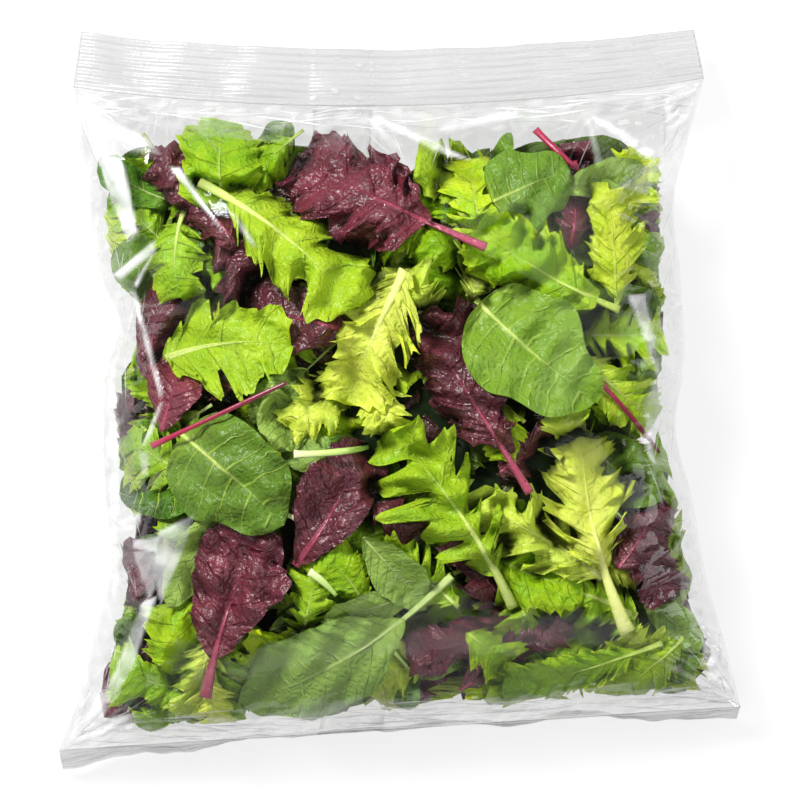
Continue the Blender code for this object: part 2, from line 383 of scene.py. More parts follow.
def mesh_piece(name, points, quads, attributes=None, caps=()):
    """A smooth mesh object of quads, with attributes on its points and many-sided faces as caps."""
    mesh = bpy.data.meshes.new(name)
    faces = np.concatenate([np.asarray(quads).ravel()] + [np.asarray(cap) for cap in caps]).astype(np.int32)
    sizes = np.concatenate((np.full(len(quads), 4), [len(cap) for cap in caps])).astype(np.int32)
    mesh.vertices.add(len(points))
    mesh.vertices.foreach_set("co", np.asarray(points, dtype=np.float32).ravel())
    mesh.loops.add(len(faces))
    mesh.loops.foreach_set("vertex_index", faces)
    mesh.polygons.add(len(sizes))
    mesh.polygons.foreach_set("loop_start", np.concatenate(([0], np.cumsum(sizes)[:-1])).astype(np.int32))
    mesh.polygons.foreach_set("use_smooth", np.ones(len(sizes), dtype=bool))
    for key, values in (attributes or {}).items():
        mesh.attributes.new(key, "FLOAT", "POINT").data.foreach_set("value", np.asarray(values, dtype=np.float32))
    mesh.update(calc_edges=True)
    mesh.validate()
    piece = bpy.data.objects.new(name, mesh)
    bpy.context.scene.collection.objects.link(piece)
    return piece


border_fade = step(0, 0.03, 1 - np.abs(grid_across)) * step(0, 0.012, grid_along) * step(0, 0.012, 1 - grid_along)
front_points = np.stack((film_x, film_y, front), axis=2)
front_points += grid_normals(front_points) * (film_folds() * MM * border_fade)[:, :, None]
edge_points = (front + back) / 2
for part in ((0, slice(None)), (-1, slice(None)), (slice(None), 0), (slice(None), -1)):
    front_points[part][..., 2] = edge_points[part]
for k in range(3):  # the front's odd border points lie on the back's longer edges
    for part in (front_points[0, :, k], front_points[-1, :, k], front_points[:, 0, k], front_points[:, -1, k]):
        part[1::2] = (part[:-1:2] + part[2::2]) / 2
ceiling = front_points[:, :, 2].copy()  # the lowest film around each point, which nothing inside passes
for _ in range(3):
    wide = np.pad(ceiling, 1, mode="edge")
    ceiling = np.minimum.reduce((ceiling, wide[:-2, 1:-1], wide[2:, 1:-1], wide[1:-1, :-2], wide[1:-1, 2:]))
front = softened(np.minimum(front, ceiling), 10)
back_points = np.stack((film_x, film_y, back), axis=2)[::2, ::2].copy()
back_relief = bumpy(film_x, film_y, 0.035, 31)[::2, ::2] * 0.5 + (0.6 - np.abs(bumpy(film_x, film_y, 0.02, 32)))[::2, ::2]
hanging = step(0.001, 0.006, back_points[:, :, 2]) * border_fade[::2, ::2]
back_points[:, :, 2] -= back_relief * 0.0007 * hanging
for part in ((0, slice(None)), (-1, slice(None)), (slice(None), 0), (slice(None), -1)):
    back_points[part] = front_points[::2, ::2][part]
back_points[:, :, 2] = np.maximum(back_points[:, :, 2], 0.0)

looseness = np.maximum(step(0.72, 0.94, np.abs(grid_across)), step(0.80, 0.93, np.abs(2 * grid_along - 1)))
front_count = (FILM_ROWS + 1) * (FILM_COLUMNS + 1)
back_whiteness = 0.05 + 0.08 * np.clip(bumpy(film_x, film_y, 0.012, 33), 0, 1)[::2, ::2]
film = mesh_piece(
    "film",
    np.concatenate((front_points.reshape(-1, 3), back_points.reshape(-1, 3))),
    np.concatenate((
        grid_quads(FILM_ROWS + 1, FILM_COLUMNS + 1),
        grid_quads(FILM_ROWS // 2 + 1, FILM_COLUMNS // 2 + 1, front_count)[:, ::-1],
    )),
    {
        "whiteness": np.concatenate((film_haze_and_painted_light().ravel(), back_whiteness.ravel())),
        "loose": np.concatenate((looseness.ravel(), looseness[::2, ::2].ravel())),
    },
)


def crinkle_group():
    """Fine crinkles of thin film: a height for a bump, from long soft ripples and small sharp ones."""
    group = bpy.data.node_groups.new("film crinkles", "ShaderNodeTree")
    group.interface.new_socket("Ripple Scale", in_out="INPUT", socket_type="NodeSocketFloat")
    group.interface.new_socket("Sharp Share", in_out="INPUT", socket_type="NodeSocketFloat")
    group.interface.new_socket("Height", in_out="OUTPUT", socket_type="NodeSocketFloat")
    given = group.nodes.new("NodeGroupInput")
    result = group.nodes.new("NodeGroupOutput")
    place = add_node(group, "TexCoord").outputs["Object"]
    ripple = add_node(group, "TexNoise", {"Vector": place, "Scale": given.outputs["Ripple Scale"], "Detail": 2.0})
    finer = add_node(group, "Math", {0: given.outputs["Ripple Scale"], 1: 2.6}, operation="MULTIPLY")
    sharp = add_node(group, "TexVoronoi", {"Vector": place, "Scale": finer.outputs[0]}, feature="DISTANCE_TO_EDGE")
    part = add_node(group, "Math", {0: sharp.outputs["Distance"], 1: given.outputs["Sharp Share"]}, operation="MULTIPLY")
    total = add_node(group, "Math", {0: ripple.outputs["Fac"], 1: part.outputs[0]}, operation="ADD")
    group.links.new(total.outputs[0], result.inputs["Height"])
    return group


film_crinkles = crinkle_group()


def film_material(name, base_white, ripple_scale, ripple_depth, gloss_where_taut, gloss_where_loose,
                  gloss_roughness, clearness, whitest):
    """Clear film: mirror gloss that grows towards grazing angles, and white where it is creased or where highlights
    are painted.
    """
    material, tree, output = new_material(name)
    crinkles = tree.nodes.new("ShaderNodeGroup")
    crinkles.node_tree = film_crinkles
    crinkles.inputs["Ripple Scale"].default_value = ripple_scale
    crinkles.inputs["Sharp Share"].default_value = 0.35
    bump = add_node(tree, "Bump", {"Height": crinkles.outputs["Height"], "Distance": ripple_depth, "Strength": 1.0})
    normal = bump.outputs["Normal"]
    facing = add_node(tree, "LayerWeight", {"Blend": 0.5, "Normal": normal}).outputs["Facing"]
    steep = add_node(tree, "Math", {0: facing, 1: 3.5}, operation="POWER")
    loose = add_node(tree, "Attribute", attribute_name="loose").outputs["Fac"]
    least = add_node(tree, "Math", {0: loose, 1: gloss_where_loose, 2: gloss_where_taut}, operation="MULTIPLY_ADD")
    share = add_node(tree, "MapRange", {"Value": steep.outputs[0], "To Min": least.outputs[0], "To Max": 0.95})
    clear = add_node(tree, "BsdfTransparent", {"Color": (clearness, clearness, clearness, 1.0)})
    gloss = add_node(tree, "BsdfGlossy", {"Color": (1, 1, 1, 1), "Roughness": gloss_roughness, "Normal": normal})
    film_look = add_node(tree, "MixShader", {0: share.outputs[0], 1: clear.outputs[0], 2: gloss.outputs[0]})
    white = add_node(tree, "BsdfPrincipled", {
        "Base Color": (whitest, whitest, whitest, 1.0), "Roughness": 0.22, "Normal": normal,
    })
    # The whiteness attribute holds haze and painted highlights.
    marked = add_node(tree, "Attribute", attribute_name="whiteness").outputs["Fac"]
    haze = add_node(tree, "Math", {0: marked, 1: base_white}, operation="ADD", use_clamp=True)
    surface = add_node(tree, "MixShader", {0: haze.outputs[0], 1: film_look.outputs[0], 2: white.outputs[0]})
    tree.links.new(surface.outputs[0], output.inputs["Surface"])
    return material


film.data.materials.append(film_material("clear film", 0.0, 45.0, 0.0005, 0.008, 0.05, 0.05, 0.94, 0.66))
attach(film, "root")
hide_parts("salad_bag")

# ---- Creases of the film ----
# Where thin film is bent sharply it keeps a fine crease. Here each is a slim strip that lies on the film's
# front, widest in the middle of its length, painted light grey as a highlight or dark grey as the shade of its fold.

CREASE_STEPS = 12
CREASE_LIFT = 0.00015  # above the film
# Greys of a crease painted as a highlight and of one painted as the shade of its fold.
PAINTED_CREASE_HIGHLIGHT, PAINTED_CREASE_SHADE = 0.60, 0.22

crease_points, crease_quads, crease_painted_tone, crease_strength = [], [], [], []
crease_dice = np.random.default_rng(83)


def add_crease(start, heading, length, width, painted_tone, strength):
    """One crease from a point in plan, in mm, in a direction in degrees."""
    share = np.linspace(0, 1, CREASE_STEPS)
    turn = math.radians(heading) + crease_dice.normal(0, 0.16) * (share - 0.5)
    step_x, step_y = np.cos(turn) * length / CREASE_STEPS, np.sin(turn) * length / CREASE_STEPS
    x, y = start[0] + np.cumsum(step_x) - step_x[0], start[1] + np.cumsum(step_y) - step_y[0]
    half = width / 2 * (0.06 + 0.94 * np.sin(math.pi * share) ** 0.8)
    half = np.stack((-half, half), axis=1)
    turn = turn[:, None]
    across, along = bag_share((x[:, None] - half * np.sin(turn)) * MM, (y[:, None] + half * np.cos(turn)) * MM)
    across, along = np.clip(across, -0.985, 0.985), np.clip(along, 0.004, 0.996)
    x, y = plan_point(across, along)
    z = sampled(front_points[:, :, 2], across, along) + CREASE_LIFT
    crease_quads.append(grid_quads(CREASE_STEPS, 2, 2 * CREASE_STEPS * len(crease_points)))
    crease_points.append(np.stack((x, y, z), 2).reshape(-1, 3))
    crease_painted_tone.append(np.full(2 * CREASE_STEPS, painted_tone))
    crease_strength.append(np.repeat(strength * (0.35 + 0.65 * np.sin(math.pi * share)), 2))


def crease_fan(place, heading, spread, count, lengths, widths, highlight_share, strengths=(0.35, 0.85), jitter=4.0):
    for _ in range(count):
        start = np.array(place) + crease_dice.uniform(-jitter, jitter, 2)
        painted_tone = PAINTED_CREASE_HIGHLIGHT if crease_dice.uniform() < highlight_share else PAINTED_CREASE_SHADE
        strength = crease_dice.uniform(*strengths) * (1.0 if painted_tone == PAINTED_CREASE_HIGHLIGHT else 0.45)
        add_crease(
            start, heading + spread * crease_dice.uniform(-1, 1), crease_dice.uniform(*lengths),
            crease_dice.uniform(*widths), painted_tone, strength,
        )


for place, heading in (((-134, 126), -42), ((124, 129), -140), ((-141, -144), 48), ((140, -126), 130)):
    crease_fan(place, heading, 38, 14, (12, 48), (0.25, 0.8), 0.65, (0.2, 0.6))
for place in TOP_PINCHES:
    crease_fan(place, -90, 70, 5, (6, 24), (0.2, 0.5), 0.7, (0.12, 0.42), jitter=7.0)
for i in range(70):
    spot = plan_point(np.array(crease_dice.uniform(-0.97, 0.90)), np.array(crease_dice.uniform(0.955, 0.996)))
    crease_fan(np.array(spot) / MM, 0, 14, 1, (8, 40), (0.3, 0.8), 0.55, jitter=0.0)
for i in range(80):
    spot = plan_point(np.array(crease_dice.uniform(-0.97, 0.90)), np.array(crease_dice.uniform(0.004, 0.05)))
    crease_fan(np.array(spot) / MM, 0, 9, 1, (10, 46), (0.3, 0.9), 0.4, jitter=0.0)
for side in (-1, 1):
    for i in range(44):
        spot = plan_point(np.array(side * crease_dice.uniform(0.88, 0.98)), np.array(crease_dice.uniform(0.06, 0.9)))
        crease_fan(np.array(spot) / MM, 90, 24, 1, (7, 28), (0.2, 0.6), 0.65, (0.15, 0.55), jitter=0.0)
    for i in range(12):
        spot = plan_point(np.array(side * 0.97), np.array(crease_dice.uniform(0.08, 0.9)))
        crease_fan(np.array(spot) / MM, 90 + side * 90, 50, 1, (6, 20), (0.2, 0.5), 0.7, (0.12, 0.4), jitter=0.0)
creases = mesh_piece(
    "film_creases_painted_light", np.concatenate(crease_points), np.concatenate(crease_quads),
    {"painted_tone": np.concatenate(crease_painted_tone), "strength": np.concatenate(crease_strength)},
)
material, tree, output = new_material("creased film painted light")
# Each strip is painted light grey as a highlight or dark grey as shade.
painted_tone = add_node(tree, "Attribute", attribute_name="painted_tone").outputs["Fac"]
grey = add_node(tree, "CombineColor", {"Red": painted_tone, "Green": painted_tone, "Blue": painted_tone}).outputs[0]
clear = add_node(tree, "BsdfTransparent")
white = add_node(tree, "BsdfPrincipled", {"Base Color": grey, "Roughness": 0.35})
strength = add_node(tree, "Attribute", attribute_name="strength").outputs["Fac"]
mixed = add_node(tree, "MixShader", {0: strength, 1: clear.outputs[0], 2: white.outputs[0]})
tree.links.new(mixed.outputs[0], output.inputs["Surface"])
creases.data.materials.append(material)
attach(creases, "root")

# ---- The crimped seals ----
# The tube's front and back are welded together at each end between toothed jaws, which leave a band
# of straight ridges. The lap seam runs through both bands as a doubled, whiter strip.

SIDE_HEIGHT = np.array(((0.00, 0.0185), (0.15, 0.0230), (0.50, 0.0310), (0.85, 0.0290), (1.00, 0.0230)))
TOP_FREE_BOW, TOP_SEAL_ARCH, TOP_SEAL_DROP = 0.0088, 0.0100, 0.0090
LEFT_TOP_CORNER, RIGHT_TOP_CORNER = (-0.1352, 0.1554), (0.1239, 0.1567)
BOTTOM_SEAL = 0.0180  # its height along the film
BOTTOM_REACH = (0.0088, 0.0008, 0.0067)  # how far it spreads at the left, in the middle, at the right
SEAM_EDGES = (-0.24, -0.05)  # shares across
SEAL_THICKNESS = 0.00035
SEAL_COLUMNS = 260
ROWS_TO_A_RIDGE = 6


def top_seal_lines(across):
    """Inner and free edge of the top seal, as arrays of points."""
    x, y = plan_point(across, np.ones_like(across))
    z = SIDE_HEIGHT[-1, 1] + TOP_SEAL_ARCH * (1 - across**2)
    share = (across + 1) / 2
    free_x = LEFT_TOP_CORNER[0] + (RIGHT_TOP_CORNER[0] - LEFT_TOP_CORNER[0]) * share + FRAME_SHIFT[0]
    free_y = LEFT_TOP_CORNER[1] + (RIGHT_TOP_CORNER[1] - LEFT_TOP_CORNER[1]) * share + FRAME_SHIFT[1]
    free_y = free_y - TOP_FREE_BOW * (1 - across**2)
    return np.stack((x, y, z), 1), np.stack((free_x, free_y, z - TOP_SEAL_DROP), 1)


def bottom_seal_lines(across):
    x, y = plan_point(across, np.zeros_like(across))
    z = np.full_like(x, SIDE_HEIGHT[0, 1])
    left, middle, right = BOTTOM_REACH
    reach = middle + (left - middle) * step(0.25, 1.0, -across) + (right - middle) * step(0.50, 1.0, across)
    return np.stack((x, y, z), 1), np.stack((x, y - reach, z - np.sqrt(BOTTOM_SEAL**2 - reach**2)), 1)


def crimped_seal(name, lines, ridges, ridge_depth, waviness, seed):
    """A thin closed band with ridges along it."""
    across = np.linspace(-1, 1, SEAL_COLUMNS + 1)
    inner, free = lines(across)
    rows = ridges * ROWS_TO_A_RIDGE + 1
    share = np.linspace(0, 1, rows)[:, None]
    points = inner[None] + (free - inner)[None] * share[:, :, None]
    normals = grid_normals(points)
    normals *= np.sign(normals[:, :, 2:] + 1e-9)
    x = points[:, :, 0]
    wave = bumpy(x, share * 0.02 + x * 0, 0.05, seed) * waviness * step(0, 0.25, share)
    wave = wave + bumpy(x, share * 0.01 + x * 0, 0.011, seed + 1, 5) * waviness * 0.25 * step(0, 0.3, share)
    flat_ends = step(0, 0.04, share) * step(0, 0.06, 1 - share)
    ridge = np.sin(2 * math.pi * ridges * share) * ridge_depth * flat_ends
    ridge = ridge * (0.75 + 0.25 * bumpy(x, share * 0.1 + x * 0, 0.03, seed + 2))
    seam_low, seam_high = SEAM_EDGES
    doubled = step(seam_low - 0.006, seam_low, across) * step(-seam_high - 0.006, -seam_high, -across)
    half = SEAL_THICKNESS / 2 * (1 + doubled[None, :])
    middle = points + normals * (ridge + wave)[:, :, None]
    upper, lower = middle + normals * half[:, :, None], middle - normals * half[:, :, None]
    count = rows * (SEAL_COLUMNS + 1)
    quads = [grid_quads(rows, SEAL_COLUMNS + 1), grid_quads(rows, SEAL_COLUMNS + 1, count)[:, ::-1]]
    index = np.arange(count).reshape(rows, SEAL_COLUMNS + 1)
    for rim in (index[0], index[-1][::-1], index[::-1, 0], index[:, -1]):
        quads.append(np.stack((rim[1:], rim[:-1], rim[:-1] + count, rim[1:] + count), axis=1))
    edge_lines = np.exp(-((across - seam_high) / 0.006) ** 2) + 0.45 * np.exp(-((across - seam_low) / 0.008) ** 2)
    crest = 0.5 + 0.5 * np.sin(2 * math.pi * ridges * share + 0.9)
    broken = np.clip(0.4 + bumpy(x, share * 0.03 + x * 0, 0.004, seed + 3), 0, 1)
    white = 0.10 * crest * flat_ends + 0.06 * doubled[None] + 0.45 * edge_lines[None] * crest * broken
    # Scattered painted glints, stronger on the lap seam.
    painted_glint = np.clip(bumpy(x, share * 0.03 + x * 0, 0.006, seed + 4) - 0.9, 0, 1) * 0.5
    white = np.clip(white + painted_glint * (0.1 + doubled[None]), 0, 1).ravel()
    return mesh_piece(
        name, np.concatenate((upper.reshape(-1, 3), lower.reshape(-1, 3))), np.concatenate(quads),
        {"whiteness": np.concatenate((white, white))},
    )


for name, lines, ridges, depth, waviness, seed, haze in (
    ("top_seal", top_seal_lines, 8, 0.00042, 0.0007, 41, 0.34),
    ("bottom_seal", bottom_seal_lines, 6, 0.00040, 0.0011, 51, 0.16),
):
    seal = crimped_seal(name, lines, ridges, depth, waviness, seed)
    seal.data.materials.append(
        film_material(name.replace("_", " "), haze, 220.0, 0.0002, 0.02, 0.0, 0.22, 0.91, 0.40)
    )
    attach(seal, "root")

# ---- The lap seam ----
# The tube is made from one flat web, whose edges are lapped and welded down the middle of the back:
# a doubled strip of film that runs from one crimp to the other.

SEAM_ROWS = 220
SEAM_COLUMNS = 10
SEAM_PROUD = 0.00025  # of the back's film

seam_along, seam_across = np.meshgrid(
    np.linspace(0.004, 0.996, SEAM_ROWS), np.linspace(*SEAM_EDGES, SEAM_COLUMNS), indexing="ij"
)
seam_x, seam_y = plan_point(seam_across, seam_along)
seam_z = sampled(back_points[:, :, 2], seam_across, seam_along)
seam_edge = np.minimum(seam_across - SEAM_EDGES[0], SEAM_EDGES[1] - seam_across) / (SEAM_EDGES[1] - SEAM_EDGES[0])
seam_under = np.maximum(seam_z - SEAM_PROUD, 0.0)
seam_count = SEAM_ROWS * SEAM_COLUMNS
seam_index = np.arange(seam_count).reshape(SEAM_ROWS, SEAM_COLUMNS)
seam_quads = [grid_quads(SEAM_ROWS, SEAM_COLUMNS), grid_quads(SEAM_ROWS, SEAM_COLUMNS, seam_count)[:, ::-1]]
for rim in (seam_index[0], seam_index[-1][::-1], seam_index[::-1, 0], seam_index[:, -1]):
    seam_quads.append(np.stack((rim[1:], rim[:-1], rim[:-1] + seam_count, rim[1:] + seam_count), axis=1))
seam = mesh_piece(
    "lap_seam",
    np.concatenate((
        np.stack((seam_x, seam_y, np.maximum(seam_z, SEAM_PROUD)), 2).reshape(-1, 3),
        np.stack((seam_x, seam_y, seam_under), 2).reshape(-1, 3),
    )),
    np.concatenate(seam_quads),
    {"whiteness": np.tile((0.01 + 0.12 * step(0.12, 0.02, seam_edge)).ravel(), 2)},
)
seam.data.materials.append(film_material("lapped film", 0.0, 160.0, 0.0004, 0.0, 0.0, 0.12, 1.0, 0.45))
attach(seam, "root")

# ---- The heart of the heap ----
# Behind the leaves that show lie more leaves, pressed together. One closed body stands for them, so that
# nothing is seen through the gaps between the outer leaves; its near-black green is painted shade.

CORE_DEPTH_FRONT, CORE_DEPTH_BACK = 27.0 * MM, 12.0 * MM
CORE_ACROSS, CORE_ALONG = 0.80, (0.11, 0.87)
CORE_ROWS, CORE_COLUMNS = 120, 110

core_v, core_u = np.meshgrid(
    np.linspace(*CORE_ALONG, CORE_ROWS), np.linspace(-CORE_ACROSS, CORE_ACROSS, CORE_COLUMNS), indexing="ij"
)
core_x, core_y = plan_point(core_u, core_v)
core_rim = np.minimum(1 - np.abs(core_u) / CORE_ACROSS, 1 - np.abs((core_v - 0.49) / 0.38))
core_full = np.clip(core_rim / 0.18, 0, 1) ** 0.5
core_top = sampled(front, core_u, core_v) - CORE_DEPTH_FRONT
core_low = sampled(back, core_u, core_v) + CORE_DEPTH_BACK
core_middle = (core_top + core_low) / 2
core_half = np.maximum((core_top - core_low) / 2, 0.0) * core_full
core_relief = 2.0 * MM * core_full * (0.6 - np.abs(bumpy(core_x, core_y, 0.016, 61)))
core_upper = core_middle + core_half + core_relief
core_lower = core_middle - core_half
core_count = CORE_ROWS * CORE_COLUMNS
core_index = np.arange(core_count).reshape(CORE_ROWS, CORE_COLUMNS)
core_quads = [grid_quads(CORE_ROWS, CORE_COLUMNS), grid_quads(CORE_ROWS, CORE_COLUMNS, core_count)[:, ::-1]]
for rim in (core_index[0], core_index[-1][::-1], core_index[::-1, 0], core_index[:, -1]):
    core_quads.append(np.stack((rim[1:], rim[:-1], rim[:-1] + core_count, rim[1:] + core_count), axis=1))
core = mesh_piece(
    "heap_core",
    np.concatenate((
        np.stack((core_x, core_y, core_upper), 2).reshape(-1, 3),
        np.stack((core_x, core_y, core_lower), 2).reshape(-1, 3),
    )),
    np.concatenate(core_quads),
)
material, tree, output = new_material("pressed leaves in painted shade")
place = add_node(tree, "TexCoord").outputs["Object"]
blotches = add_node(tree, "TexNoise", {"Vector": place, "Scale": 45.0, "Detail": 3.0})
ramp = add_node(tree, "ValToRGB", {"Fac": blotches.outputs["Fac"]})
# Painted shade: near-black greens for the leaves deep in the heap.
ramp.color_ramp.elements[0].position, ramp.color_ramp.elements[0].color = 0.35, colour("060e03")
ramp.color_ramp.elements[1].position, ramp.color_ramp.elements[1].color = 0.65, colour("122608")
veined = add_node(tree, "TexVoronoi", {"Vector": place, "Scale": 90.0}, feature="DISTANCE_TO_EDGE")
bump = add_node(tree, "Bump", {"Height": veined.outputs["Distance"], "Distance": 0.002, "Strength": 0.8})
shader = add_node(tree, "BsdfPrincipled", {
    "Base Color": ramp.outputs["Color"], "Roughness": 0.7, "Specular IOR Level": 0.15,
    "Normal": bump.outputs["Normal"],
})
tree.links.new(shader.outputs["BSDF"], output.inputs["Surface"])
core.data.materials.append(material)
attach(core, "root")

# ---- Spinach leaves ----
# Baby spinach: round to egg-shaped blades with a smooth edge, thick and glossy, raised between sunken
# pale veins. Each is picked with a short piece of its stalk.

LEAF_GAP = 0.50 * MM  # between one leaf and what it lies on
HIDDEN_BELOW = 9.0 * MM  # leaves deeper than this, and those at the back, get a coarser mesh
FILM_GAP = 0.55 * MM  # between the film and the topmost leaves
BLADE_ACROSS = 0.98  # as far as leaves reach towards the side edges, as a share
BLADE_ALONG = (0.024, 0.992)
FRONT_SHARE = 0.62  # of the bag's thickness, filled by the leaves that lie under its front
ROD_SIDES, ROD_HEIGHT = 8, 0.6  # sides of a rib or stalk, and its height as a share of its width

# How a leaf of this kind is cut. Lengths in metres, the rest are shares of its length or width. The
# powers base and tip say how the outline widens and closes: below 1 is round, above 1 is drawn out.
SPINACH = dict(
    base=0.42, tip=0.56, slant=0.30, heart=0.07, lobes=0, lobe_depth=0.0, lobe_gap=0.5,
    teeth=0.0, tooth=0.0, ruffle=1.6 * MM, waves=40.0, curl=0.0, buckle=1.6 * MM, blister=0.7 * MM,
    blister_size=6.0 * MM, quilt=2.0 * MM, veins=6, cup=0.08, fold=0.08, arch=0.06, rib=2.2 * MM,
    row=1.0 * MM, column=1.3 * MM,
)


def leaf_edge(cut, q, blade, rng):
    """One side of a leaf: how far out its lobes reach, each lobe's curl and swing, its teeth in metres."""
    reach, curl, swing = np.ones_like(q), np.zeros_like(q), np.zeros_like(q)
    if cut["lobes"]:
        place = cut["lobes"] * (q**0.9 + 0.012 * np.sin(9 * q + rng.uniform(0, 6))) + rng.uniform(-0.15, 0.15)
        gap = step(1 - cut["lobe_gap"], 1.0, (1 + np.cos(2 * math.pi * place)) / 2)
        count = cut["lobes"] + 3
        between = np.clip(np.round(place).astype(int), 0, count - 1)
        lobe = np.clip(np.floor(place).astype(int), 0, count - 1)
        depth = cut["lobe_depth"] * rng.uniform(0.55, 1.20, count)[between]
        tall = rng.uniform(0.70, 1.22, count)[lobe]
        reach = (1 - gap) * (1 + (tall - 1) * step(0.0, 0.3, 1 - gap)) + gap * (1 - np.clip(depth, 0, 0.86))
        reach = 1 + (reach - 1) * step(0.0, 0.12, q) * step(1.0, 0.84, q)
        curl = rng.normal(0, 1, count)[lobe] * (1 - gap)
        swing = rng.normal(0, 1, count)[lobe] * (1 - gap)
    reach = reach * (1 + 0.09 * np.sin(6 * q + rng.uniform(0, 6)) + 0.06 * np.sin(13 * q + rng.uniform(0, 6)))
    number = int(cut["teeth"] * blade) + 2
    starts = np.concatenate(((0.0,), np.cumsum(rng.uniform(0.4, 1.6, number))))
    starts = starts / starts[-1]
    tooth = np.clip(np.searchsorted(starts, q, side="right") - 1, 0, number - 1)
    place = (q - starts[tooth]) / (starts[tooth + 1] - starts[tooth])
    point = np.where(place < 0.6, (place / 0.6) ** 1.3, ((1 - place) / 0.4) ** 1.1)
    gap_size = (starts[tooth + 1] - starts[tooth]) * number
    teeth = cut["tooth"] * gap_size**0.7 * rng.uniform(0.35, 1.2, number)[tooth] * point
    turn_up = rng.normal(0, 1, number)[tooth]
    return reach, curl, swing, teeth * step(0.0, 0.08, q), turn_up


